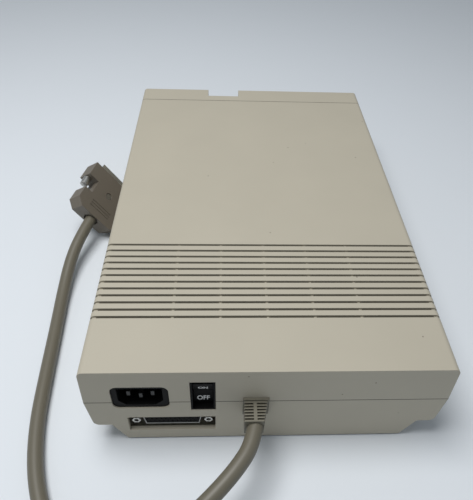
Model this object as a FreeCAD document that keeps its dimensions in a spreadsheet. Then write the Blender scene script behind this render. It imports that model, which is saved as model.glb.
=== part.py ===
import FreeCAD, Part
import Sketcher
import math
import os

# External floppy disk drive, millimetres. +Z up, the front faces -Y, the rear panel faces +Y.
# The origin is on the table, under the middle of the case.

SIZES = [
    # Case: two shells that meet at a seam, and a front bezel
    ("case_depth", 336.0), ("bezel_depth", 22.0), ("foot_gap", 1.4), ("step_height", 17.4),
    ("seam_height", 42.3), ("case_height", 72.0), ("plinth_width", 174.0), ("step_width", 190.0),
    ("corner_width", 211.2), ("seam_width", 216.2), ("top_width", 214.2), ("wall", 2.8),
    ("corner_radius", 4.0), ("edge_radius", 3.5), ("bezel_wall", 3.0), ("window_clearance", 0.3),
    ("notch_width", 30.0), ("notch_centre", 28.2), ("notch_depth", 12.5), ("notch_wall", 2.0),
    # Vents across the top, near the rear
    ("vent_count", 12.0), ("vent_first", 39.6), ("vent_pitch", 5.84), ("vent_width", 1.8),
    ("vent_reach", 206.6), ("channel_depth", 1.5), ("rib_count", 5.0), ("rib_pitch", 29.0),
    ("rib_width", 1.6), ("rib_drop", 3.0),
    # Feet and case screws
    ("foot_radius", 7.0), ("foot_sink", 1.0), ("foot_spread", 140.0), ("foot_pitch", 270.0),
    ("boss_radius", 5.0), ("boss_spread", 194.0), ("boss_front", -125.0), ("boss_rear", 48.0),
    ("screw_radius", 1.5), ("screw_head_radius", 3.2), ("screw_head_height", 2.2),
    ("screw_bite", 10.0), ("fit_clearance", 0.05), ("play", 0.3),
    # Drive mechanism
    ("drive_width", 146.0), ("drive_height", 41.3), ("drive_bottom", 20.4), ("drive_length", 195.0),
    ("faceplate_front", 1.5), ("faceplate_depth", 5.0), ("sheet", 2.0), ("base_height", 30.4),
    ("side_bottom", 22.0), ("side_top", 57.0), ("slot_width", 135.0), ("slot_height", 4.6),
    ("slot_level", 41.1), ("disk_size", 133.4), ("disk_rest", 26.6), ("guide_height", 10.0),
    ("guide_shelf", 4.0),
    # Spindle and clamp
    ("shaft_radius", 3.0), ("rotor_radius", 32.0), ("rotor_bottom", 22.7), ("rotor_height", 5.6),
    ("bearing_radius", 8.0), ("hub_radius", 14.0), ("hub_bottom", 33.0), ("hub_top", 38.6),
    ("hub_cup_radius", 10.5), ("hub_cup_depth", 4.0), ("board_thickness", 1.6),
    ("motor_board_width", 80.0), ("motor_board_length", 84.0), ("post_radius", 2.5),
    ("cone_bottom", 43.8), ("cone_radius", 8.5), ("cone_top_radius", 12.5), ("cone_height", 6.4),
    ("arm_level", 51.0), ("arm_width", 38.0), ("arm_tip", 16.0), ("hinge_radius", 3.0),
    ("pin_radius", 1.2), ("hinge_back", 6.6), ("bracket_width", 4.0), ("bracket_length", 8.0),
    # Head carriage
    ("head_radius", 3.0), ("track_radius", 57.15), ("track_travel", 20.64), ("carriage_width", 38.0),
    ("carriage_bottom", 32.7), ("carriage_top", 38.0), ("carriage_front", 10.0),
    ("carriage_rear", 38.0), ("rail_radius", 2.0), ("rail_level", 35.4), ("rail_spread", 30.0),
    ("saddle_width", 7.0), ("saddle_length", 4.5), ("screw_shaft_radius", 2.0), ("screw_line", 29.0),
    ("lug_length", 8.0), ("head_arm_level", 45.0), ("head_arm_width", 12.0), ("cheek", 2.5),
    ("stepper_radius", 11.0), ("stepper_length", 19.0), ("stepper_flange", 2.0),
    # Latch lever
    ("lever_level", 51.5), ("lever_length", 21.0), ("lever_width", 9.0), ("lever_depth", 3.6),
    ("lever_shaft_radius", 3.0), ("lever_shaft_length", 18.0), ("lever_sink", 0.6),
    ("led_width", 5.0), ("led_height", 2.5), ("led_centre", -55.0), ("led_level", 27.0),
    ("cam_width", 3.0), ("cam_reach", 7.0), ("cam_rise", 2.0),
    # Brackets that carry the drive, boards
    ("bracket_sheet", 1.5), ("bracket_reach", 10.0), ("bracket_front", -120.0),
    ("bracket_rear", 20.0), ("bracket_top", 45.0), ("standoff_height", 7.0),
    ("logic_length", 93.5), ("supply_left", -14.0), ("supply_right", 82.0), ("supply_front", 48.0),
    ("supply_rear", 106.0), ("link_left", 24.0), ("link_right", 82.0), ("link_front", 112.0),
    ("link_rear", 153.5), ("post_inset", 5.0), ("chip_length", 20.0), ("chip_width", 7.0),
    ("chip_height", 2.6), ("chip_pitch", 34.0),
    ("chip_first", -52.0), ("chip_margin", 22.0), ("chip_inset", 12.0),
    ("ribbon_width", 36.0), ("ribbon_inset", 10.0), ("ribbon_sheet", 1.0), ("socket_height", 8.0),
    ("power_first", -7.0), ("power_pitch", 2.6), ("power_lead_radius", 0.9),
    ("mains_lead_radius", 1.1), ("power_socket_height", 9.0), ("power_socket_edge", 2.4),
    ("power_socket_depth", 8.0), ("supply_plug_inset", 12.0),
    # Supply
    ("core_width", 54.0), ("core_stack", 34.0), ("core_height", 45.0), ("core_limb", 18.0),
    ("core_yoke", 9.0), ("core_centre_across", -47.0), ("core_centre_along", 80.0),
    ("coil_bulge", 8.0), ("coil_gap", 0.3), ("core_foot", 8.5), ("capacitor_radius", 9.0),
    ("capacitor_height", 28.0), ("sink_height", 30.0),
    ("sink_inset", 12.0), ("sink_edge", 9.0), ("fin_count", 5.0),
    ("fin_pitch", 8.0), ("fin_sheet", 1.6), ("fin_reach", 8.0), ("fuse_radius", 2.6),
    ("fuse_length", 20.0), ("fuse_pitch", 15.0), ("clip_height", 3.0),
    # Mains inlet
    ("inlet_width", 33.2), ("inlet_height", 21.9), ("inlet_across", 75.1), ("inlet_level", 46.95),
    ("inlet_radius", 4.5), ("inlet_sink", 0.8), ("inlet_depth", 22.0), ("inlet_cavity_width", 26.0),
    ("inlet_cavity_height", 16.6), ("inlet_cavity_depth", 16.0), ("blade_width", 2.0),
    ("blade_height", 4.0), ("blade_length", 14.0), ("blade_spacing", 14.0), ("tab_length", 8.0),
    ("panel_lip", 2.0), ("panel_fit", 0.2),
    # Power switch
    ("switch_width", 14.7), ("switch_height", 29.3), ("switch_across", 38.85),
    ("switch_drop", 24.25), ("switch_wall", 0.95), ("switch_depth", 18.0), ("rocker_pivot", 9.5),
    ("rocker_reach", 6.8), ("rocker_dip", 2.4), ("rocker_half", 12.2), ("rocker_tilt", 8.0),
    ("switch_sink", 0.4), ("switch_tab_length", 7.0), ("switch_tab_rise", 6.0),
    # Connector for a second drive
    ("port_width", 53.0), ("port_height", 14.9), ("port_across", 58.3), ("port_level", 18.15),
    ("shell_width", 35.5), ("shell_height", 7.9), ("shell_slant", 10.0), ("shell_wall", 0.5),
    ("shell_sink", 2.3), ("flange_sink", 8.0), ("flange_width", 50.3), ("flange_height", 12.5),
    ("flange_sheet", 1.0), ("jack_spacing", 44.3), ("jack_flats", 4.8), ("jack_bore", 1.4),
    ("contact_pitch", 2.77), ("contact_row", 2.84), ("contact_radius", 0.5), ("tail", 0.6),
    ("port_back_depth", 5.0), ("contact_count", 12.0),
    # Strain relief and cord
    ("boot_across", 7.8), ("boot_level", 38.2), ("boot_width", 15.4), ("boot_tip_width", 11.3),
    ("boot_length", 14.5), ("boot_height", 13.0), ("boot_collar", 1.5), ("boot_collar_rise", 2.9),
    ("boot_neck", 12.0), ("boot_turn", 10.0), ("slit_count", 6.0), ("slit_pitch", 1.95),
    ("slit_width", 1.0), ("slit_depth", 3.0), ("slit_rib", 2.0), ("cord_diameter", 9.4),
    # Plug hood on the cord's far end
    ("hood_across", 147.8), ("hood_along", -25.8), ("hood_level", 17.1), ("hood_heading", -108.0),
    ("hood_rise", 9.2), ("hood_lean", 54.4), ("hood_width", 44.7),
    ("hood_ear_width", 51.0), ("hood_length", 44.5),
    ("hood_thickness", 14.8), ("hood_end_width", 31.5), ("hood_end_slope", 5.7),
    ("hood_bay_start", 17.0), ("hood_bay_end", 30.0), ("hood_bay_depth", 7.5),
    ("hood_mouth_radius", 6.2),
    ("hood_mouth_depth", 2.5), ("hood_bore_depth", 8.0), ("plug_shell_length", 6.0),
    ("jackscrew_radius", 1.5), ("jackscrew_knob", 3.3), ("jackscrew_grip", 8.0),
    ("hood_screw_radius", 1.5),
    ("hood_screw_along", 25.8), ("hood_screw_head", 2.8), ("hood_screw_sink", 2.4),
    ("grip_count", 3.0), ("grip_first", 6.2), ("grip_pitch", 2.6), ("grip_width", 1.2),
    ("grip_half", 10.5), ("grip_depth", 0.5), ("cord_grip", 5.0),
]

# The cord's route, chosen by hand: from inside the strain relief, round behind the case and
# along its +X side to the plug hood. Each point is the middle of the cord.
CORD_ROUTE = [
    (7.4, 176.0, 38.2),
    (10.2, 192.0, 38.2),
    (19.3, 206.0, 37.2),
    (34.0, 221.0, 34.0),
    (54.0, 236.5, 27.5),
    (80.0, 246.0, 16.0),
    (105.0, 241.0, 7.0),
    (125.0, 221.5, 4.8),
    (138.0, 193.5, 4.7),
    (145.3, 161.0, 4.7),
    (148.3, 122.0, 4.7),
    (150.8, 82.0, 4.7),
    (153.3, 45.0, 6.0),
    (152.3, 15.0, 12.8),
    (146.9, -9.2, 18.8),
]


class Dim:
    """A length that carries its number and the sheet expression that works it out."""

    def __init__(self, number, text):
        self.number = float(number)
        self.text = text

    @staticmethod
    def of(other):
        return other if isinstance(other, Dim) else Dim(other, repr(float(other)))

    def join(self, other, sign, number):
        return Dim(number, "(%s %s %s)" % (self.text, sign, other.text))

    def __add__(self, other):
        other = Dim.of(other)
        return self.join(other, "+", self.number + other.number)

    def __sub__(self, other):
        other = Dim.of(other)
        return self.join(other, "-", self.number - other.number)

    def __mul__(self, other):
        other = Dim.of(other)
        return self.join(other, "*", self.number * other.number)

    def __truediv__(self, other):
        other = Dim.of(other)
        return self.join(other, "/", self.number / other.number)

    def __radd__(self, other):
        return Dim.of(other) + self

    def __rsub__(self, other):
        return Dim.of(other) - self

    def __rmul__(self, other):
        return Dim.of(other) * self

    def __neg__(self):
        return 0.0 - self


class Sizes:
    """The named sizes, each as a Dim bound to its cell in the sheet."""


doc = FreeCAD.newDocument("floppy_drive")
sheet = doc.addObject("Spreadsheet::Sheet", "Sizes")
s = Sizes()
for row, (alias, number) in enumerate(SIZES, start=1):
    sheet.set("A%d" % row, alias)
    sheet.set("B%d" % row, str(number))
    sheet.setAlias("B%d" % row, alias)
    setattr(s, alias, Dim(number, "Sizes." + alias))
doc.recompute()

nodes = {}
AXIS_TURN = {
    "x": FreeCAD.Rotation(FreeCAD.Vector(0, 1, 0), 90),
    "y": FreeCAD.Rotation(FreeCAD.Vector(1, 0, 0), -90),
    "z": FreeCAD.Rotation(),
}


def bind(thing, prop, amount):
    amount = Dim.of(amount)
    thing.setExpression(prop, amount.text)


def put(thing, place):
    for letter, amount in zip("xyz", place):
        bind(thing, ".Placement.Base." + letter, amount)
    return thing


def box(name, low, high):
    """A block between two corners."""
    thing = doc.addObject("Part::Box", name)
    for prop, start, end in zip(("Length", "Width", "Height"), low, high):
        bind(thing, prop, Dim.of(end) - start)
    return put(thing, low)


def rod(name, radius, start, length, axis="z"):
    """A cylinder from the middle of its first face, along an axis."""
    thing = doc.addObject("Part::Cylinder", name)
    thing.Placement = FreeCAD.Placement(FreeCAD.Vector(), AXIS_TURN[axis])
    bind(thing, "Radius", radius)
    bind(thing, "Height", length)
    return put(thing, start)


def cone(name, radius, end_radius, start, length):
    thing = doc.addObject("Part::Cone", name)
    bind(thing, "Radius1", radius)
    bind(thing, "Radius2", end_radius)
    bind(thing, "Height", length)
    return put(thing, start)


def prism(name, plane, outline, low, high):
    """A straight body: an outline on a plane of two axes, from low to high along the third."""
    body = doc.addObject("PartDesign::Body", name)
    role = plane + "_Plane"
    origin_plane = [f for f in body.Origin.OriginFeatures if f.Role == role][0]
    sketch = body.newObject("Sketcher::SketchObject", name + "_outline")
    sketch.AttachmentSupport = [(origin_plane, "")]
    sketch.MapMode = "FlatFace"
    spots = [(Dim.of(a), Dim.of(b)) for a, b in outline]
    count = len(spots)
    for index in range(count):
        start = spots[index]
        end = spots[(index + 1) % count]
        sketch.addGeometry(Part.LineSegment(
            FreeCAD.Vector(start[0].number, start[1].number, 0),
            FreeCAD.Vector(end[0].number, end[1].number, 0)))
    for index in range(count):
        sketch.addConstraint(Sketcher.Constraint("Coincident", index, 2, (index + 1) % count, 1))
    for index, (across, up) in enumerate(spots):
        for kind, amount in (("DistanceX", across), ("DistanceY", up)):
            number = sketch.addConstraint(Sketcher.Constraint(kind, -1, 1, index, 1, amount.number))
            bind(sketch, "Constraints[%d]" % number, amount)
    pad = body.newObject("PartDesign::Pad", name + "_pad")
    pad.Profile = sketch
    bind(pad, "Length", Dim.of(high) - low)
    body.Tip = pad
    zero = Dim.of(0)
    place = {"XY": (zero, zero, Dim.of(low)), "XZ": (zero, Dim.of(high), zero),
             "YZ": (Dim.of(low), zero, zero)}[plane]
    return put(body, place)


def joined(name, pieces):
    if len(pieces) == 1:
        return pieces[0]
    thing = doc.addObject("Part::MultiFuse", name)
    thing.Shapes = pieces
    return thing


def cut(name, base, tools):
    thing = doc.addObject("Part::Cut", name)
    thing.Base = base
    thing.Tool = joined(name + "_tools", tools)
    return thing


def together(name, pieces):
    """Identical pieces in one node, each its own solid."""
    thing = doc.addObject("Part::Compound", name)
    thing.Links = pieces
    return thing


def rounded(name, base, radius, wanted):
    """The base with the wanted edges rounded, each edge picked by where its middle lies."""
    doc.recompute()
    picked = []
    for number, edge in enumerate(base.Shape.Edges, start=1):
        middle = edge.valueAt((edge.FirstParameter + edge.LastParameter) / 2)
        along = edge.valueAt(edge.LastParameter) - edge.valueAt(edge.FirstParameter)
        if wanted(middle, along):
            picked.append((number, radius.number, radius.number))
    thing = doc.addObject("Part::Fillet", name)
    thing.Base = base
    thing.Edges = picked
    return thing


def node(name, thing):
    thing.Label = name
    nodes[name] = thing
    return thing


def pairs(spread, pitch, middle=0.0):
    """The four corners of a rectangle."""
    return [(side * spread / 2, middle + end * pitch / 2) for side in (-1, 1) for end in (-1, 1)]


# Derived places that several pieces share
front = -s.case_depth / 2
rear = s.case_depth / 2
bezel_back = front + s.bezel_depth
panel_inside = rear - s.wall
floor_top = s.foot_gap + s.wall
ledge_top = s.step_height + s.wall
roof = s.case_height - s.wall
plate_front = front + s.faceplate_front
chassis_front = plate_front + s.faceplate_depth
chassis_rear = chassis_front + s.drive_length
base_top = s.base_height + s.sheet
drive_half = s.drive_width / 2
drive_top = s.drive_bottom + s.drive_height
spindle = -s.disk_rest - s.disk_size / 2
head_line = spindle + s.track_radius
hinge_line = -s.disk_rest + s.hinge_back
slot_floor = s.slot_level - s.slot_height / 2
slot_roof = s.slot_level + s.slot_height / 2
saddle_rear = head_line + s.carriage_rear + 0.6
saddle_front = head_line - s.carriage_front - s.track_travel - s.saddle_length - 1.0
steady_front = head_line - s.track_travel - s.saddle_length - 2.0
flange_front = saddle_rear + s.saddle_length + 2.0
arm_axis = head_line + s.carriage_rear - 3.0
board_low = floor_top + s.standoff_height
board_top = board_low + s.board_thickness
supply_plug_line = s.supply_front + s.supply_plug_inset
ribbon_left = s.link_left + s.ribbon_inset
ribbon_right = ribbon_left + s.ribbon_width
power_right = s.power_first + 3 * s.power_pitch
inlet_face = rear - s.inlet_sink
switch_face = rear - s.switch_sink
switch_level = s.case_height - s.switch_drop
switch_back = switch_face - s.switch_depth


def half_outline(side, parts):
    """Points (half width, height) mirrored into a closed outline."""
    right = [(half - side, up) for half, up in parts]
    left = [(-(half - side), up) for half, up in reversed(parts)]
    return right + left


def along_depth(middle, along):
    return abs(along.x) < 0.5 and abs(along.z) < 0.5


def rounded_low(name, base):
    limit = s.step_width.number / 2
    level = s.step_height.number + 0.1
    return rounded(name, base, s.corner_radius, lambda m, a: along_depth(m, a)
                   and abs(m.x) > limit + 1 and abs(m.z - level) < 0.5)


def rounded_top(name, base):
    level = s.case_height.number
    return rounded(name, base, s.edge_radius, lambda m, a: along_depth(m, a)
                   and abs(m.z - level) < 0.1)


def low_outline(wall, floor, ledge):
    return half_outline(wall, [(s.plinth_width / 2, floor), (s.step_width / 2, ledge),
                               (s.corner_width / 2, ledge), (s.seam_width / 2, s.seam_height)])


def rear_tools(name):
    """What the rear panel is open for: the inlet, the switch, the connector and the cord."""
    inlet = box(name + "_inlet",
                (s.inlet_across - s.inlet_width / 2, panel_inside - 1,
                 s.inlet_level - s.inlet_height / 2),
                (s.inlet_across + s.inlet_width / 2, rear + 1,
                 s.inlet_level + s.inlet_height / 2))
    inlet = rounded(name + "_inlet_round", inlet, s.inlet_radius,
                    lambda m, a: abs(a.x) < 0.1 and abs(a.z) < 0.1)
    switch = box(name + "_switch",
                 (s.switch_across - s.switch_width / 2, panel_inside - 1,
                  switch_level - s.switch_height / 2),
                 (s.switch_across + s.switch_width / 2, rear + 1,
                  switch_level + s.switch_height / 2))
    neck = box(name + "_neck",
               (s.boot_across - s.boot_neck / 2, panel_inside - 1, s.boot_level - s.boot_neck / 2),
               (s.boot_across + s.boot_neck / 2, rear + 1, s.boot_level + s.boot_neck / 2))
    return [inlet, switch, neck]


def case_screw_places():
    return [(side * s.boss_spread / 2, place) for side in (-1, 1)
            for place in (s.boss_front, s.boss_rear)]


def standoff_places():
    """Middles of the posts under the two boards."""
    inset = s.post_inset
    return [(x, y) for x in (s.supply_left + inset, s.supply_right - inset)
            for y in (s.supply_front + inset, s.supply_rear - inset)] + [
            (x, y) for x in (s.link_left + inset, s.link_right - inset)
            for y in (s.link_front + inset, s.link_rear - inset)]


def make_lower_case():
    outer = prism("lower_outer", "XZ", low_outline(0.0, s.foot_gap, s.step_height),
                  bezel_back, rear)
    outer = rounded_low("lower_rounded", outer)
    inner = prism("lower_inner", "XZ", low_outline(s.wall, floor_top, ledge_top),
                  bezel_back - 1, panel_inside)
    port = box("port_hole",
               (s.port_across - s.port_width / 2, panel_inside - 1,
                s.port_level - s.port_height / 2),
               (s.port_across + s.port_width / 2, rear + 1, s.port_level + s.port_height / 2))
    shell = cut("lower_shell", outer, [inner])
    bosses = []
    holes = [port] + rear_tools("lower")
    for number, (x, y) in enumerate(case_screw_places()):
        bosses.append(rod("lower_boss_%d" % number, s.boss_radius, (x, y, ledge_top - 1),
                          s.seam_height - ledge_top + 1))
        holes.append(rod("lower_bore_%d" % number, s.screw_radius + s.play, (x, y, s.step_height - 1),
                         s.seam_height))
        holes.append(rod("lower_sink_%d" % number, s.screw_head_radius + s.play,
                         (x, y, s.step_height - 1), s.screw_head_height + 1.2))
    for number, (x, y) in enumerate(pairs(s.foot_spread, s.foot_pitch)):
        holes.append(rod("foot_sink_%d" % number, s.foot_radius + s.fit_clearance,
                         (x, y, s.foot_gap - 1), s.foot_sink + 1))
    for number, (x, y) in enumerate(standoff_places()):
        bosses.append(rod("standoff_%d" % number, s.post_radius, (x, y, floor_top - 1),
                          s.standoff_height + 1))
        holes.append(rod("standoff_bore_%d" % number, s.screw_radius + s.fit_clearance,
                         (x, y, floor_top + 1), s.standoff_height + 1))
    whole = joined("lower_with_bosses", [shell] + bosses)
    node("lower_case", cut("lower_case_cut", whole, holes))


def make_upper_case():
    outline = half_outline(0.0, [(s.seam_width / 2, s.seam_height), (s.top_width / 2, s.case_height)])
    outer = rounded_top("upper_rounded", prism("upper_outer", "XZ", outline, bezel_back, rear))
    inside = half_outline(s.wall, [(s.seam_width / 2, s.seam_height - 1), (s.top_width / 2, roof)])
    inner = prism("upper_inner", "XZ", inside, bezel_back - 1, panel_inside)
    shell = cut("upper_shell", outer, [inner])
    bosses = []
    holes = rear_tools("upper")
    for number, (x, y) in enumerate(case_screw_places()):
        bosses.append(rod("upper_boss_%d" % number, s.boss_radius, (x, y, s.seam_height),
                          roof - s.seam_height + 1))
        holes.append(rod("upper_bore_%d" % number, s.screw_radius + s.fit_clearance,
                         (x, y, s.seam_height - 1), s.screw_bite + 2))
    count = int(s.vent_count.number)
    last = rear - s.vent_first - s.vent_pitch * (s.vent_count - 1)
    grooves = []
    slots = []
    for number in range(count):
        start = rear - s.vent_first - number * s.vent_pitch - s.vent_width / 2
        end = start + s.vent_width
        grooves.append(box("groove_%d" % number, (-s.seam_width / 2 - 1, start, s.seam_height),
                           (s.seam_width / 2 + 1, end, s.case_height + 1)))
        slots.append(box("slot_%d" % number, (-s.vent_reach / 2, start, roof - 1),
                         (s.vent_reach / 2, end, s.case_height + 1)))
    inset = half_outline(s.channel_depth, [(s.seam_width / 2, s.seam_height - 1),
                                           (s.top_width / 2, s.case_height - s.channel_depth)])
    core = prism("channel_core", "XZ", inset, front, rear)
    channels = cut("channels", joined("groove_bars", grooves), [core])
    ribs = []
    middle = (s.rib_count - 1) / 2
    for number in range(int(s.rib_count.number)):
        x = (number - middle) * s.rib_pitch
        ribs.append(box("vent_rib_%d" % number,
                        (x - s.rib_width / 2, last - s.vent_pitch, roof - s.rib_drop),
                        (x + s.rib_width / 2, rear - s.vent_first + s.vent_pitch,
                         roof + s.wall - s.channel_depth)))
    whole = joined("upper_with_bosses", [shell] + bosses)
    opened = cut("upper_opened", whole, [channels] + slots + holes)
    node("upper_case", joined("upper_case_whole", [opened] + ribs))


def make_front_bezel():
    low = prism("bezel_low", "XZ", low_outline(0.0, s.foot_gap, s.step_height), front, bezel_back)
    low = rounded_low("bezel_low_rounded", low)
    high = half_outline(0.0, [(s.seam_width / 2, s.seam_height), (s.top_width / 2, s.case_height)])
    high = rounded_top("bezel_high_rounded", prism("bezel_high", "XZ", high, front, bezel_back))
    face = front + s.bezel_wall
    hollow_low = prism("bezel_hollow_low", "XZ", low_outline(s.wall, floor_top, ledge_top),
                       face, bezel_back + 1)
    hollow_high = prism("bezel_hollow_high", "XZ",
                        half_outline(s.wall, [(s.seam_width / 2, s.seam_height - 1),
                                              (s.top_width / 2, roof)]), face, bezel_back + 1)
    window = box("bezel_window",
                 (-drive_half - s.window_clearance, front - 1, s.drive_bottom - s.window_clearance),
                 (drive_half + s.window_clearance, face + 1, drive_top + s.window_clearance))
    left = s.notch_centre - s.notch_width / 2
    right = s.notch_centre + s.notch_width / 2
    floor = drive_top + s.window_clearance
    pocket = box("notch_block", (left - s.notch_wall, front + 1, floor),
                 (right + s.notch_wall, front + s.notch_depth + s.notch_wall, roof + 1))
    notch = box("notch_space", (left, front - 1, floor - 1),
                (right, front + s.notch_depth, s.case_height + 1))
    shell = cut("bezel_shell", joined("bezel_blank", [low, high]), [hollow_low, hollow_high])
    whole = joined("bezel_with_pocket", [shell, pocket])
    node("front_bezel", cut("bezel_cut", whole, [window, notch]))


def make_feet_and_screws():
    feet = []
    for number, (x, y) in enumerate(pairs(s.foot_spread, s.foot_pitch)):
        feet.append(rod("foot_%d" % number, s.foot_radius, (x, y, 0.0), s.foot_gap + s.foot_sink))
    node("rubber_feet", together("feet", feet))
    screws = []
    for number, (x, y) in enumerate(case_screw_places()):
        head_top = s.step_height + s.screw_head_height + 0.2
        head = rod("case_head_%d" % number, s.screw_head_radius, (x, y, head_top - s.screw_head_height),
                   s.screw_head_height)
        shank = rod("case_shank_%d" % number, s.screw_radius, (x, y, head_top - 0.5),
                    s.seam_height - head_top + s.screw_bite)
        screws.append(joined("case_screw_%d" % number, [head, shank]))
    node("case_screws", together("case_screw_set", screws))


def make_faceplate():
    plate = box("plate", (-drive_half, plate_front, s.drive_bottom),
                (drive_half, chassis_front, drive_top))
    slot = box("plate_slot", (-s.slot_width / 2, plate_front - 1, slot_floor),
               (s.slot_width / 2, chassis_front + 1, slot_roof))
    lead_in = prism("slot_lead_in", "YZ",
                    [(plate_front - 0.5, slot_floor - 2.0), (plate_front + 2.5, slot_floor + 0.5),
                     (plate_front + 2.5, slot_roof - 0.5), (plate_front - 0.5, slot_roof + 2.0)],
                    -s.slot_width / 2, s.slot_width / 2)
    recess = rod("lever_recess", s.lever_length + 2.0,
                 (s.notch_centre, plate_front - 1, s.lever_level),
                 s.lever_depth + 1, "y")
    recess_bound = box("lever_recess_bound",
                       (s.notch_centre - s.lever_length - 1.5, plate_front - 1, s.drive_bottom + 4),
                       (s.notch_centre + s.lever_length + 1.5, plate_front + s.lever_depth,
                        drive_top + 1))
    pocket = doc.addObject("Part::Common", "lever_pocket")
    pocket.Base = recess
    pocket.Tool = recess_bound
    bore = rod("lever_bore", s.lever_shaft_radius + s.fit_clearance,
               (s.notch_centre, plate_front - 1, s.lever_level), s.faceplate_depth + 2, "y")
    lamp = box("led_hole", (s.led_centre - s.led_width / 2, plate_front - 1, s.led_level - s.led_height / 2),
               (s.led_centre + s.led_width / 2, chassis_front + 1, s.led_level + s.led_height / 2))
    node("drive_faceplate", cut("faceplate_cut", plate, [slot, lead_in, pocket, bore, lamp]))
    inset = s.fit_clearance * 2
    lens = box("led_lens", (s.led_centre - s.led_width / 2 + inset, plate_front - 0.3,
                            s.led_level - s.led_height / 2 + inset),
               (s.led_centre + s.led_width / 2 - inset, chassis_front,
                s.led_level + s.led_height / 2 - inset))
    flange = box("led_flange", (s.led_centre - s.led_width / 2 - 1, chassis_front,
                                s.led_level - s.led_height / 2 - 0.6),
                 (s.led_centre + s.led_width / 2 + 1, chassis_front + 3,
                  s.led_level + s.led_height / 2 + 0.4))
    node("activity_led", joined("led_whole", [lens, flange]))


def make_lever():
    """At rest the latch is open: the lever lies level, clear of the disk slot."""
    face = plate_front + s.lever_sink
    back = plate_front + s.lever_depth - s.play
    x = s.notch_centre
    hub = rod("lever_hub", s.lever_width / 2 + 1.5, (x, face, s.lever_level), back - face, "y")
    blade = box("lever_blade", (x - s.lever_length, face - 0.2, s.lever_level - s.lever_width / 2),
                (x, back, s.lever_level + s.lever_width / 2))
    blade = rounded("lever_blade_round", blade, s.lever_width * 0.3,
                    lambda m, a: abs(a.x) < 0.1 and abs(a.z) < 0.1 and m.x < x.number - 10)
    shaft = rod("lever_shaft", s.lever_shaft_radius, (x, face, s.lever_level),
                s.lever_shaft_length, "y")
    node("latch_lever", joined("lever_whole", [hub, blade, shaft]))
    cam_start = face + s.lever_shaft_length
    cam = rod("cam_disc", s.lever_shaft_radius + 1.5, (x, cam_start, s.lever_level),
              s.cam_width, "y")
    nose = box("cam_nose", (x - s.cam_reach, cam_start, s.lever_level - s.cam_rise),
               (x, cam_start + s.cam_width, s.lever_level + s.cam_rise))
    node("latch_cam", joined("cam_whole", [cam, nose]))


def disk_stop():
    """The bar on the chassis that the disk comes up against."""
    stop = box("stop_bar", (-s.slot_width / 2 + 4, -s.disk_rest + 0.4, s.carriage_top + 0.6),
               (-s.carriage_width / 2 - 8, -s.disk_rest + 3, slot_roof))
    foot = box("stop_foot", (-s.slot_width / 2 + 4, -s.disk_rest + 3, base_top - 0.5),
               (-s.carriage_width / 2 - 8, -s.disk_rest + 5, slot_roof))
    return [stop, foot]


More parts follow.
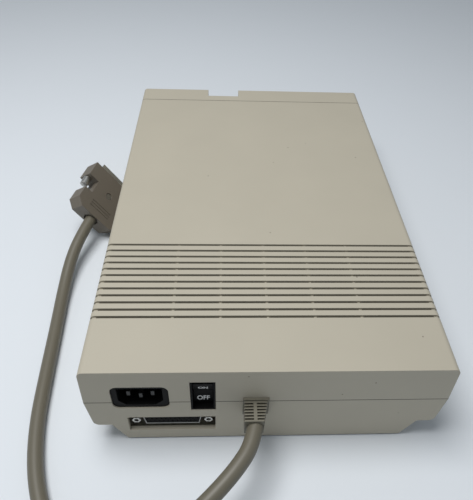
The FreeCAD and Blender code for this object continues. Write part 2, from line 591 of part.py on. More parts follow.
def make_chassis():
    base = box("chassis_base", (-drive_half, chassis_front, s.base_height),
               (drive_half, chassis_rear, base_top))
    sides = [box("chassis_side_%d" % number, low, high) for number, (low, high) in enumerate((
        ((-drive_half, chassis_front, s.side_bottom), (-drive_half + s.sheet, chassis_rear, s.side_top)),
        ((drive_half - s.sheet, chassis_front, s.side_bottom), (drive_half, chassis_rear, s.side_top))))]
    bridge = box("front_bridge", (-drive_half + 1, chassis_front, slot_roof + 2.0),
                 (drive_half - 1, chassis_front + s.sheet, s.side_top))
    bush = rod("lever_bush", s.lever_shaft_radius + 3.0, (s.notch_centre, chassis_front, s.lever_level),
               s.lever_shaft_length - s.faceplate_depth + s.lever_sink - s.play, "y")
    bearing = rod("spindle_bearing", s.bearing_radius, (0.0, spindle, s.rotor_bottom + s.rotor_height
                  + s.play), base_top - s.rotor_bottom - s.rotor_height - s.play)
    posts = []
    for number, (x, y) in enumerate(pairs(s.motor_board_width - 10, s.motor_board_length - 10, spindle)):
        posts.append(rod("board_post_%d" % number, s.post_radius,
                         (x, y, s.drive_bottom + s.board_thickness + 0.2),
                         s.base_height - s.drive_bottom - s.board_thickness))
    brackets = []
    for side in (-1, 1):
        x = side * (s.arm_width / 2 + s.play + s.bracket_width / 2)
        brackets.append(box("hinge_bracket_%d" % (side + 1),
                            (x - s.bracket_width / 2, hinge_line - s.bracket_length / 2, base_top - 0.5),
                            (x + s.bracket_width / 2, hinge_line + s.bracket_length / 2,
                             s.arm_level + s.sheet / 2 + s.hinge_radius)))
    saddles = []
    for side in (-1, 1):
        for y in (saddle_front, saddle_rear):
            x = side * s.rail_spread / 2
            saddles.append(box("saddle_%d_%d" % (side + 1, y is saddle_rear),
                               (x - s.saddle_width / 2, y, base_top - 0.5),
                               (x + s.saddle_width / 2, y + s.saddle_length, s.carriage_top)))
    steady = box("screw_steady", (s.screw_line - 4, steady_front, base_top - 0.5),
                 (s.screw_line + 4, steady_front + s.saddle_length, s.carriage_top))
    bores = [
        rod("chassis_lever_bore", s.lever_shaft_radius + s.fit_clearance,
            (s.notch_centre, chassis_front - 1, s.lever_level), s.lever_shaft_length, "y"),
        rod("chassis_spindle_bore", s.shaft_radius + s.fit_clearance, (0.0, spindle, s.side_bottom),
            s.side_top - s.side_bottom),
        rod("chassis_hinge_bore", s.pin_radius + s.fit_clearance,
            (-s.arm_width, hinge_line, s.arm_level + s.sheet / 2), s.arm_width * 2, "x"),
        rod("steady_bore", s.screw_shaft_radius + s.fit_clearance,
            (s.screw_line, steady_front - 1, s.rail_level), s.saddle_length + 2, "y"),
        box("stepper_cutout", (s.screw_line - s.stepper_radius - 1, flange_front + s.stepper_flange,
                               s.base_height - 1),
            (s.screw_line + s.stepper_radius + 1, chassis_rear + 1, base_top + 1)),
    ]
    for side in (-1, 1):
        bores.append(rod("rail_bore_%d" % (side + 1), s.rail_radius + s.fit_clearance,
                         (side * s.rail_spread / 2, saddle_front - 1, s.rail_level),
                         saddle_rear - saddle_front + s.saddle_length + 2, "y"))
    whole = joined("chassis_blank", [base, bridge, bush, bearing, steady] + sides + posts + brackets
                   + saddles + disk_stop())
    node("drive_chassis", cut("chassis_cut", whole, bores))


def make_guides():
    pair = []
    for side in (-1, 1):
        inner = s.slot_width / 2 + 0.1
        lip = inner - s.guide_shelf
        outer = drive_half - s.sheet
        low = s.slot_level - s.guide_height / 2
        high = s.slot_level + s.guide_height / 2
        wall = [(lip, low), (outer, low), (outer, high), (lip, high), (lip, slot_roof), (inner, slot_roof),
                (inner, slot_floor), (lip, slot_floor)]
        outline = [(side * a, b) for a, b in wall]
        pair.append(prism("guide_%d" % (side + 1), "XZ", outline, chassis_front + s.sheet,
                          -s.disk_rest))
    node("disk_guides", together("guide_pair", pair))


def make_spindle():
    disc = cone("hub_disc", s.hub_radius, s.hub_radius - 1.2, (0.0, spindle, s.hub_bottom),
                s.hub_top - s.hub_bottom)
    shaft = rod("hub_shaft", s.shaft_radius, (0.0, spindle, s.rotor_bottom),
                s.hub_top - s.rotor_bottom - s.hub_cup_depth)
    cup = cone("hub_cup", s.hub_cup_radius - 1.0, s.hub_cup_radius,
               (0.0, spindle, s.hub_top - s.hub_cup_depth), s.hub_cup_depth + 0.01)
    node("spindle_hub", cut("hub_cut", joined("hub_blank", [disc, shaft]), [cup]))
    drum = rod("rotor_drum", s.rotor_radius, (0.0, spindle, s.rotor_bottom), s.rotor_height)
    bore = rod("rotor_bore", s.shaft_radius + s.fit_clearance, (0.0, spindle, s.rotor_bottom - 1),
               s.rotor_height + 2)
    relief = rod("rotor_relief", s.rotor_radius - 3, (0.0, spindle, s.rotor_bottom + s.rotor_height - 1.2),
                 s.rotor_height)
    core = rod("rotor_core", s.bearing_radius, (0.0, spindle, s.rotor_bottom), s.rotor_height)
    node("motor_rotor", cut("rotor_cut", joined("rotor_blank", [cut("rotor_dish", drum, [relief]), core]),
                            [bore]))
    wide = s.motor_board_width / 2
    long = s.motor_board_length / 2
    board = box("motor_board_blank", (-wide, spindle - long, s.drive_bottom + 0.2),
                (wide, spindle + long, s.drive_bottom + 0.2 + s.board_thickness))
    node("motor_board", board)


def make_clamp():
    level = s.arm_level
    plate = box("arm_plate", (-s.arm_tip, spindle - s.arm_tip, level),
                (s.arm_tip, hinge_line, level + s.sheet))
    shoulder = box("arm_shoulder", (-s.arm_width / 2, hinge_line - 14, level),
                   (s.arm_width / 2, hinge_line, level + s.sheet))
    knuckle = rod("arm_knuckle", s.hinge_radius, (-s.arm_width / 2, hinge_line, level + s.sheet / 2),
                  s.arm_width, "x")
    bores = [
        rod("arm_bore", s.pin_radius + s.fit_clearance,
            (-s.arm_width, hinge_line, level + s.sheet / 2), s.arm_width * 2, "x"),
        rod("arm_eye", s.shaft_radius + s.fit_clearance, (0.0, spindle, level - 1), s.sheet + 2),
        box("arm_window", (-s.arm_tip + 6, spindle + 20, level - 1), (s.arm_tip - 6, hinge_line - 16,
                                                                     level + s.sheet + 1)),
    ]
    node("clamp_arm", cut("arm_cut", joined("arm_blank", [plate, shoulder, knuckle]), bores))
    reach = s.arm_width / 2 + s.play + s.bracket_width
    pin = rod("arm_pin_rod", s.pin_radius, (-reach, hinge_line, level + s.sheet / 2), reach * 2, "x")
    node("clamp_arm_pin", pin)
    body = cone("cone_body", s.cone_radius, s.cone_top_radius, (0.0, spindle, s.cone_bottom),
                s.cone_height)
    neck = rod("cone_neck", s.shaft_radius, (0.0, spindle, s.cone_bottom + 1),
               level + s.sheet + s.play - s.cone_bottom)
    head = rod("cone_head", s.shaft_radius + 2, (0.0, spindle, level + s.sheet + s.play), 1.2)
    node("clamp_cone", joined("cone_whole", [body, neck, head]))


def make_carriage():
    low = s.carriage_bottom
    block = box("carriage_block", (-s.carriage_width / 2, head_line - s.carriage_front, low),
                (s.carriage_width / 2, head_line + s.carriage_rear, s.carriage_top))
    lug = box("carriage_lug", (s.carriage_width / 2 - 1, head_line, low),
              (s.screw_line + 4, head_line + s.lug_length, s.carriage_top))
    pad = rod("lower_head", s.head_radius, (0.0, head_line, s.carriage_top - 0.5), 1.2)
    cheeks = []
    for side in (-1, 1):
        x = side * (s.head_arm_width / 2 + s.play + s.cheek / 2)
        cheeks.append(box("cheek_%d" % (side + 1),
                          (x - s.cheek / 2, arm_axis - 3, s.carriage_top - 0.5),
                          (x + s.cheek / 2, arm_axis + 3, s.head_arm_level + s.sheet / 2 + 2.2)))
    reach = s.head_arm_width / 2 + s.play + s.cheek
    pin = rod("head_pin_rod", s.pin_radius, (-reach, arm_axis, s.head_arm_level + s.sheet / 2),
              reach * 2, "x")
    bores = [
        rod("lug_bore", s.screw_shaft_radius + 0.1, (s.screw_line, head_line - 1, s.rail_level),
            s.lug_length + 2, "y"),
    ]
    for side in (-1, 1):
        bores.append(rod("carriage_bore_%d" % (side + 1), s.rail_radius + s.fit_clearance,
                         (side * s.rail_spread / 2, head_line - s.carriage_front - 1, s.rail_level),
                         s.carriage_front + s.carriage_rear + 2, "y"))
    whole = joined("carriage_blank", [block, lug, pad, pin] + cheeks)
    node("head_carriage", cut("carriage_cut", whole, bores))
    rails = []
    for side in (-1, 1):
        rails.append(rod("rail_%d" % (side + 1), s.rail_radius,
                         (side * s.rail_spread / 2, saddle_front, s.rail_level),
                         saddle_rear + s.saddle_length - saddle_front, "y"))
    node("carriage_rails", together("rail_pair", rails))
    half = s.head_arm_width / 2
    plate = box("head_arm_plate", (-half, head_line - 6, s.head_arm_level),
                (half, arm_axis, s.head_arm_level + s.sheet))
    knuckle = rod("head_arm_knuckle", 2.4, (-half, arm_axis, s.head_arm_level + s.sheet / 2),
                  s.head_arm_width, "x")
    pad = rod("upper_head", s.head_radius, (0.0, head_line, s.cone_bottom),
              s.head_arm_level - s.cone_bottom + 0.5)
    bore = rod("head_arm_bore", s.pin_radius + s.fit_clearance,
               (-half - 1, arm_axis, s.head_arm_level + s.sheet / 2), s.head_arm_width + 2, "x")
    node("upper_head_arm", cut("head_arm_cut", joined("head_arm_blank", [plate, knuckle, pad]), [bore]))


def make_stepper():
    x = s.screw_line
    body = rod("stepper_can", s.stepper_radius, (x, flange_front + s.stepper_flange, s.rail_level),
               s.stepper_length, "y")
    flange = box("stepper_plate", (x - s.stepper_radius - 3, flange_front, base_top),
                 (x + s.stepper_radius + 3, flange_front + s.stepper_flange,
                  s.rail_level + s.stepper_radius + 1))
    bore = rod("stepper_bore", s.screw_shaft_radius + s.fit_clearance, (x, flange_front - 1, s.rail_level),
               s.stepper_flange + 5, "y")
    node("stepper_motor", cut("stepper_cut", joined("stepper_blank", [body, flange]), [bore]))
    node("lead_screw", rod("screw_rod", s.screw_shaft_radius, (x, steady_front + 0.3, s.rail_level),
                           flange_front + s.stepper_flange - steady_front, "y"))


def make_logic_board():
    low = s.side_top
    start = chassis_rear - s.logic_length
    node("drive_board", box("drive_board_blank", (-drive_half, start, low),
                            (drive_half, chassis_rear, low + s.board_thickness)))
    chips = []
    for row in range(2):
        for column in range(4):
            x = s.chip_first + s.chip_pitch * column
            y = start + s.chip_margin + s.chip_pitch * row
            chips.append(box("chip_%d_%d" % (row, column),
                             (x - s.chip_length / 2, y - s.chip_width / 2, low + s.board_thickness),
                             (x + s.chip_length / 2, y + s.chip_width / 2,
                              low + s.board_thickness + s.chip_height)))
    for n, x in enumerate((s.link_left + 12, s.link_left + 46)):
        chips.append(box("link_chip_%d" % n, (x - s.chip_width / 2, s.link_front + s.chip_inset, board_top),
                         (x + s.chip_width / 2, s.link_front + s.chip_inset + s.chip_length,
                          board_top + s.chip_height)))
    node("logic_chips", together("chip_set", chips))
    near = s.power_first - s.power_socket_edge
    far = power_right + s.power_socket_edge
    deep = s.power_socket_depth
    ends = [box("power_socket_drive", (near, chassis_rear - deep, low - s.power_socket_height),
                (far, chassis_rear, low)),
            box("power_socket_supply", (near, supply_plug_line - deep / 2, board_top),
                (far, supply_plug_line + deep / 2, board_top + s.power_socket_height))]
    node("power_sockets", together("power_socket_pair", ends))


def make_brackets():
    pair = []
    for side in (-1, 1):
        upright = [(drive_half, floor_top), (drive_half + s.bracket_reach, floor_top),
                   (drive_half + s.bracket_reach, floor_top + s.bracket_sheet),
                   (drive_half + s.bracket_sheet, floor_top + s.bracket_sheet),
                   (drive_half + s.bracket_sheet, s.bracket_top), (drive_half, s.bracket_top)]
        outline = [(side * a, b) for a, b in upright]
        pair.append(prism("bracket_%d" % (side + 1), "XZ", outline, s.bracket_front, s.bracket_rear))
    node("drive_brackets", together("bracket_pair", pair))
    screws = []
    for side in (-1, 1):
        for y in (s.bracket_front + 20, s.bracket_rear - 20):
            x = side * (drive_half + s.bracket_sheet)
            start = x if side > 0 else x - s.screw_head_height
            screws.append(rod("drive_screw_%d_%d" % (side + 1, len(screws)), s.screw_head_radius,
                              (start, y, s.base_height - 4.0), s.screw_head_height, "x"))
    bottom = floor_top + s.bracket_sheet
    reach = s.core_width / 2 + s.bracket_sheet + s.play + s.screw_head_radius
    for n, side in enumerate((-1, 1)):
        screws.append(rod("strap_screw_%d" % n, s.screw_head_radius,
                          (s.core_centre_across + side * reach, s.core_centre_along, bottom),
                          s.screw_head_height))
    node("pan_screws", together("pan_screw_set", screws))


def board_screw(name, x, y):
    head = rod(name + "_head", s.screw_radius + 1.0, (x, y, board_top), 1.6)
    shank = rod(name + "_shank", s.screw_radius, (x, y, board_top - 6.0), 6.5)
    return joined(name, [head, shank])


def drilled(name, blank, places):
    holes = [rod("%s_hole_%d" % (name, number), s.screw_radius + s.fit_clearance, (x, y, board_low - 1),
                 s.board_thickness + 2) for number, (x, y) in enumerate(places)]
    return cut(name, blank, holes)


def make_supply():
    places = standoff_places()
    board = box("supply_blank", (s.supply_left, s.supply_front, board_low),
                (s.supply_right, s.supply_rear, board_top))
    node("supply_board", drilled("supply_drilled", board, places[:4]))
    link = box("link_blank", (s.link_left, s.link_front, board_low),
               (s.link_right, s.link_rear, board_top))
    node("interface_board", drilled("link_drilled", link, places[4:]))
    node("board_screws", together("board_screw_set", [board_screw("board_screw_%d" % n, x, y)
                                                      for n, (x, y) in enumerate(places)]))
    cans = []
    for number, (x, y) in enumerate(((s.supply_left + 30, s.supply_front + 16),
                                     (s.supply_left + 30, s.supply_rear - 16))):
        cans.append(rod("capacitor_%d" % number, s.capacitor_radius, (x, y, board_top), s.capacitor_height))
    node("smoothing_capacitors", together("capacitor_set", cans))
    x = s.supply_right - s.sink_edge
    fins = [box("sink_back", (x, s.supply_front + s.sink_inset, board_top),
                (x + s.sheet, s.supply_rear - s.sink_inset, board_top + s.sink_height))]
    for number in range(int(s.fin_count.number)):
        y = s.supply_front + s.sink_inset + number * s.fin_pitch
        fins.append(box("sink_fin_%d" % number, (x + 1, y, board_top + s.sheet),
                        (x + s.fin_reach, y + s.fin_sheet, board_top + s.sink_height)))
    node("heat_sink", joined("sink_whole", fins))
    regulators = []
    for number in range(2):
        y = s.supply_front + 17 + number * 16.0
        regulators.append(box("regulator_%d" % number, (x - 4.5, y, board_top + 6), (x, y + 10.0,
                                                                                    board_top + 21)))
        for leg in range(3):
            regulators.append(box("regulator_leg_%d_%d" % (number, leg), (x - 2.6, y + 2.1 + leg * 2.5,
                                  board_top), (x - 1.8, y + 2.9 + leg * 2.5, board_top + 6)))
    parts = [joined("regulator_with_legs_%d" % n, regulators[4 * n:4 * n + 4]) for n in range(2)]
    node("voltage_regulators", together("regulator_set", parts))
    fx = s.supply_left + 58.0
    fy = s.supply_rear - 12.0
    clips = [box("fuse_clip_%d" % n, (fx + n * s.fuse_pitch - 1.5, fy - 3.4, board_top),
                 (fx + n * s.fuse_pitch + 1.5, fy + 3.4, board_top + s.clip_height))
             for n in range(2)]
    tube_part = rod("fuse_tube", s.fuse_radius,
                    (fx - 2.5, fy, board_top + s.clip_height + s.fuse_radius), s.fuse_length, "x")
    node("mains_fuse", together("fuse_set", clips + [tube_part]))


def make_transformer():
    x = s.core_centre_across
    y = s.core_centre_along
    bottom = floor_top + s.bracket_sheet
    block = box("core_block", (x - s.core_width / 2, y - s.core_stack / 2, bottom),
                (x + s.core_width / 2, y + s.core_stack / 2, bottom + s.core_height))
    windows = []
    for side in (-1, 1):
        near = x + side * s.core_limb / 2
        far = x + side * (s.core_width / 2 - s.core_yoke)
        low = near if side > 0 else far
        high = far if side > 0 else near
        windows.append(box("core_window_%d" % (side + 1),
                           (low, y - s.core_stack / 2 - 1, bottom + s.core_yoke),
                           (high, y + s.core_stack / 2 + 1, bottom + s.core_height - s.core_yoke)))
    core = cut("core_cut", block, windows)
    node("transformer_core", core)
    reach = s.core_width / 2 - s.core_yoke - s.coil_gap
    out = s.core_stack / 2 + s.coil_bulge
    low = bottom + s.core_yoke + s.coil_gap
    high = bottom + s.core_height - s.core_yoke - s.coil_gap
    coil = box("coil_block", (x - reach, y - out, low), (x + reach, y + out, high))
    limb = box("coil_limb", (x - s.core_limb / 2 - s.coil_gap, y - s.core_stack / 2 - s.coil_gap, low - 1),
               (x + s.core_limb / 2 + s.coil_gap, y + s.core_stack / 2 + s.coil_gap, high + 1))
    coil = rounded("coil_round", coil, Dim.of(4.0), lambda m, a: abs(a.x) < 0.1 and abs(a.y) < 0.1)
    node("transformer_coil", cut("coil_cut", coil, [limb]))
    strap = box("strap_foot", (x - s.core_width / 2 - s.core_foot, y - s.core_stack / 2 + 4, floor_top),
                (x + s.core_width / 2 + s.core_foot, y + s.core_stack / 2 - 4, bottom))
    sides = [box("strap_side_%d" % n, (at, y - s.core_stack / 2 + 4, floor_top),
                 (at + s.bracket_sheet, y + s.core_stack / 2 - 4, bottom + s.core_height + s.bracket_sheet))
             for n, at in enumerate((x - s.core_width / 2 - s.bracket_sheet, x + s.core_width / 2))]
    top = box("strap_top", (x - s.core_width / 2 - s.bracket_sheet, y - s.core_stack / 2 + 4,
                            bottom + s.core_height),
              (x + s.core_width / 2 + s.bracket_sheet, y + s.core_stack / 2 - 4,
               bottom + s.core_height + s.bracket_sheet))
    node("transformer_strap", joined("strap_whole", [strap, top] + sides))


def make_inlet():
    x = s.inlet_across
    z = s.inlet_level
    wide = s.inlet_width / 2 - s.panel_fit
    tall = s.inlet_height / 2 - s.panel_fit
    face = inlet_face
    body = box("inlet_front", (x - wide, panel_inside - 1, z - tall), (x + wide, face, z + tall))
    body = rounded("inlet_front_round", body, s.inlet_radius - s.panel_fit,
                   lambda m, a: abs(a.x) < 0.1 and abs(a.z) < 0.1)
    flange = box("inlet_flange", (x - wide - s.panel_lip, panel_inside - 2, z - tall - s.panel_lip),
                 (x + wide + s.panel_lip, panel_inside, z + tall + s.panel_lip))
    back = box("inlet_back", (x - wide + 1, face - s.inlet_depth, z - tall + 1),
               (x + wide - 1, panel_inside - 1, z + tall - 1))
    half = s.inlet_cavity_width / 2
    low = z - s.inlet_cavity_height / 2
    high = z + s.inlet_cavity_height / 2
    bevel = 4.5
    cavity = prism("inlet_cavity", "XZ",
                   [(x - half + bevel, low), (x + half - bevel, low), (x + half, low + bevel),
                    (x + half, high), (x - half, high), (x - half, low + bevel)],
                   face - s.inlet_cavity_depth, face + 1)
    blades = []
    holes = []
    for step, drop in ((-1, 0.0), (0, -2.2), (1, 0.0)):
        bx = x + step * s.blade_spacing / 2
        bz = z + drop + 0.6
        for name, grow in (("blade", 0.0), ("blade_hole", s.fit_clearance)):
            low_corner = (bx - s.blade_width / 2 - grow, face - s.inlet_depth - s.tab_length,
                          bz - s.blade_height / 2 - grow)
            high_corner = (bx + s.blade_width / 2 + grow, face - s.inlet_cavity_depth + s.blade_length,
                           bz + s.blade_height / 2 + grow)
            made = box("%s_%d" % (name, step + 1), low_corner, high_corner)
            (holes if name == "blade_hole" else blades).append(made)
    node("inlet_blades", together("blade_set", blades))
    node("inlet_body", cut("inlet_cut", joined("inlet_blank", [body, flange, back]), [cavity] + holes))


def make_switch():
    x = s.switch_across
    z = switch_level
    wide = s.switch_width / 2 - s.panel_fit
    tall = s.switch_height / 2 - s.panel_fit
    face = switch_face
    body = box("switch_front", (x - wide, face - s.switch_depth, z - tall), (x + wide, face, z + tall))
    flange = box("switch_flange", (x - wide - s.panel_lip, panel_inside - 2, z - tall - s.panel_lip),
                 (x + wide + s.panel_lip, panel_inside, z + tall + s.panel_lip))
    hollow = box("switch_hollow", (x - wide + s.switch_wall, face - s.switch_depth + 2,
                                   z - tall + s.switch_wall),
                 (x + wide - s.switch_wall, face + 1, z + tall - s.switch_wall))
    bore = rod("switch_pin_bore", s.pin_radius + s.fit_clearance,
               (x - wide - 1, rear - s.rocker_pivot, z), 2 * wide + 2, "x")
    node("switch_body", cut("switch_cut", joined("switch_blank", [body, flange]), [hollow, bore]))
    half = wide - s.switch_wall - s.play
    rocker = prism("rocker_block", "YZ",
                   [(s.rocker_reach, s.rocker_half), (s.rocker_reach - s.rocker_dip, 0.0),
                    (s.rocker_reach, -s.rocker_half), (-1.0, -s.rocker_half), (-3.4, 0.0),
                    (-1.0, s.rocker_half)], -half, half)
    pivots = rod("rocker_pivots", s.pin_radius, (-wide, 0.0, 0.0), 2 * wide, "x")
    turned = joined("rocker_whole", [rocker, pivots])
    turned.Placement = FreeCAD.Placement(
        FreeCAD.Vector(), FreeCAD.Rotation(FreeCAD.Vector(1, 0, 0), -s.rocker_tilt.number))
    put(turned, (x, rear - s.rocker_pivot, z))
    node("switch_rocker", turned)
    tabs = [box("switch_tab_%d" % n, (x - 3, switch_back - s.switch_tab_length, z + up - 0.4),
                (x + 3, switch_back, z + up + 0.4))
            for n, up in enumerate((-s.switch_tab_rise, s.switch_tab_rise))]
    node("switch_tabs", together("switch_tab_pair", tabs))


def d_outline(x, z, width, height, slant):
    """A D-shaped outline, wide side up, its ends leaning in at a slant in degrees."""
    lean = height * math.tan(math.radians(slant.number))
    return [(x - width / 2 + lean, z - height / 2), (x + width / 2 - lean, z - height / 2),
            (x + width / 2, z + height / 2), (x - width / 2, z + height / 2)]


def contact_places(x, z):
    """Twelve contacts in the upper row and eleven in the lower."""
    spots = []
    upper = int(s.contact_count.number)
    for count, up in ((upper, s.contact_row / 2), (upper - 1, -s.contact_row / 2)):
        for number in range(count):
            spots.append((x + (number - (count - 1) / 2.0) * s.contact_pitch, z + up))
    return spots


def make_port():
    x = s.port_across
    z = s.port_level
    face = rear - s.flange_sink
    nose = rear - s.shell_sink
    flange = box("port_flange", (x - s.flange_width / 2, face - s.flange_sheet, z - s.flange_height / 2),
                 (x + s.flange_width / 2, face, z + s.flange_height / 2))
    tube = prism("port_tube", "XZ", d_outline(x, z, s.shell_width, s.shell_height, s.shell_slant),
                 face - s.flange_sheet, nose)
    hollow = prism("port_hollow", "XZ",
                   d_outline(x, z, s.shell_width - 2 * s.shell_wall, s.shell_height - 2 * s.shell_wall,
                             s.shell_slant), face - s.flange_sheet - 1, nose + 1)
    holes = [rod("port_hole_%d" % n, s.jack_bore + s.fit_clearance,
                 (x + side * s.jack_spacing / 2, face - s.flange_sheet - 1, z), 4.0, "y")
             for n, side in enumerate((-1, 1))]
    node("port_shell", cut("port_cut", joined("port_blank", [flange, tube]), [hollow] + holes))
    inset = 2 * s.shell_wall + 2 * s.fit_clearance
    core = prism("port_core", "XZ",
                 d_outline(x, z, s.shell_width - inset, s.shell_height - inset, s.shell_slant),
                 face - s.flange_sheet, nose - 0.3)
    back = box("port_back",
               (x - s.shell_width / 2 - 1, face - s.flange_sheet - s.port_back_depth,
                z - s.shell_height / 2 - 1),
               (x + s.shell_width / 2 + 1, face - s.flange_sheet, z + s.shell_height / 2 + 1))
    bores = [rod("contact_bore_%d" % n, s.contact_radius, (cx, nose - 6.0, cz), 7.0, "y")
             for n, (cx, cz) in enumerate(contact_places(x, z))]
    node("port_insulator", cut("insulator_cut", joined("insulator_blank", [core, back]), bores))
    tails = []
    start = face - s.flange_sheet - s.port_back_depth
    for n, (cx, cz) in enumerate(contact_places(x, z)):
        reach = 3.0 if n >= s.contact_count.number else 5.5
        flat = box("tail_flat_%d" % n, (cx - s.tail / 2, start - reach, cz - s.tail / 2),
                   (cx + s.tail / 2, start, cz + s.tail / 2))
        drop = box("tail_drop_%d" % n, (cx - s.tail / 2, start - reach, board_top),
                   (cx + s.tail / 2, start - reach + s.tail, cz))
        tails.append(joined("tail_%d" % n, [flat, drop]))
    node("port_tails", together("tail_set", tails))
    nuts = []
    for n, side in enumerate((-1, 1)):
        nx = x + side * s.jack_spacing / 2
        radius = s.jack_flats / math.sqrt(3.0)
        turns = [math.radians(60 * k) for k in range(6)]
        outline = [(nx + radius * math.cos(turn), z + radius * math.sin(turn)) for turn in turns]
        hexagon = prism("jack_hex_%d" % n, "XZ", outline, face, nose)
        stud = rod("jack_stud_%d" % n, s.jack_bore, (nx, face - 6.0, z), 6.5, "y")
        bore = rod("jack_bore_%d" % n, s.jack_bore, (nx, nose - 5.0, z), 6.0, "y")
        nuts.append(cut("jack_nut_%d" % n, joined("jack_blank_%d" % n, [hexagon, stud]), [bore]))
    node("port_jack_nuts", together("jack_nut_pair", nuts))


def make_link_parts():
    z = board_top
    node("ribbon_socket", box("ribbon_socket_block", (ribbon_left - 2, s.link_front + 3, z),
                              (ribbon_right + 2, s.link_front + 9, z + s.socket_height)))


def make_ribbon():
    """A flat cable from the drive's board, over the supply and down to the interface board."""
    thick = s.ribbon_sheet
    start = chassis_rear - 1.0
    level = s.side_top + s.board_thickness + 1.0
    low = board_top + s.socket_height
    end = s.link_front + 5.5
    over = s.side_top - 9.0
    outline = [(start, level), (start + 8.0, level), (start + 20.0, over), (end - 12.0, over),
               (end, over - 12.0), (end, low), (end + thick, low), (end + thick, over - 12.0 + 0.4),
               (end - 12.0 + 0.4, over + thick), (start + 20.0 + 0.4, over + thick),
               (start + 8.4, level + thick), (start, level + thick)]
    band = prism("ribbon_band", "YZ", outline, ribbon_left, ribbon_right)
    top = s.side_top + s.board_thickness
    plug = box("ribbon_plug", (ribbon_left - 2, start - 8.0, top),
               (ribbon_right + 2, start + 0.2, top + 2.9))
    node("ribbon_cable", joined("ribbon_whole", [band, plug]))


def tube_path(points):
    """Straight runs joined by tangent arcs, each as large as its two runs allow."""
    share = 0.45
    spots = [FreeCAD.Vector(*p) for p in points]
    edges = []
    radii = []
    here = spots[0]
    for before, corner, after in zip(spots, spots[1:], spots[2:]):
        inward = (corner - before).normalize()
        outward = (after - corner).normalize()
        trim = share * min((corner - before).Length, (after - corner).Length)
        first = corner - inward * trim
        last = corner + outward * trim
        half_turn = inward.getAngle(outward) / 2
        radius = trim / math.tan(half_turn)
        toward = (outward - inward).normalize()
        middle = corner + toward * (radius / math.cos(half_turn) - radius)
        radii.append(radius)
        edges.append(Part.LineSegment(here, first).toShape())
        edges.append(Part.Arc(first, middle, last).toShape())
        here = last
    edges.append(Part.LineSegment(here, spots[-1]).toShape())
    return Part.Wire(edges), radii


def tube(points, radius):
    """A round tube along the path, with its volume set against section times length."""
    path, radii = tube_path(points)
    start = FreeCAD.Vector(*points[0])
    toward = FreeCAD.Vector(*points[1]) - start
    ring = Part.Wire([Part.makeCircle(radius, start, toward)])
    solid = path.makePipeShell([ring], True, False)
    expected = math.pi * radius ** 2 * path.Length
    print("tube length %.1f radii %s volume ratio %.5f" % (
        path.Length, [round(r, 1) for r in radii], solid.Volume / expected))
    return solid


def feature(name, shape):
    thing = doc.addObject("Part::Feature", name)
    thing.Shape = shape
    return thing


def make_leads():
    start = chassis_rear.number
    low = s.side_top.number - 3.5
    plug = supply_plug_line.number
    top = (board_top + s.power_socket_height).number
    wires = []
    for n in range(4):
        x = (s.power_first + n * s.power_pitch).number
        wires.append(tube([(x, start, low), (x, start + 7, low), (x, plug - 3, low - 9),
                           (x, plug, low - 22), (x, plug, top)], s.power_lead_radius.number))
    node("power_leads", feature("power_lead_set", Part.makeCompound(wires)))
    z = s.inlet_level.number
    inlet = (inlet_face - s.inlet_depth - s.tab_length).number
    switch = (switch_back - s.switch_tab_length).number
    rise = s.switch_tab_rise.number
    thick = s.mains_lead_radius.number
    zs = switch_level.number
    xs = s.switch_across.number
    xi = s.inlet_across.number
    half = s.blade_spacing.number / 2
    coil_x = s.core_centre_across.number
    coil_y = (s.core_centre_along + s.core_stack / 2 + s.coil_bulge).number
    coil_z = (floor_top + s.bracket_sheet + s.core_height / 2).number
    mains = [
        tube([(xi - half, inlet, z), (xi - half, inlet - 6, z), (xi - half - 10, inlet - 10, z + 4),
              (xs + 8, switch - 12, zs + rise), (xs, switch - 8, zs + rise),
              (xs, switch, zs + rise)], thick),
        tube([(xs, switch, zs - rise), (xs, switch - 6, zs - rise), (xs - 8, switch - 12, zs - 7),
              (-10, switch - 16, zs - 12), (-40, coil_y + 18, coil_z + 8),
              (coil_x + 4, coil_y + 9, coil_z + 4), (coil_x + 4, coil_y, coil_z + 4)], thick),
    ]
    node("mains_leads", feature("mains_lead_set", Part.makeCompound(mains)))


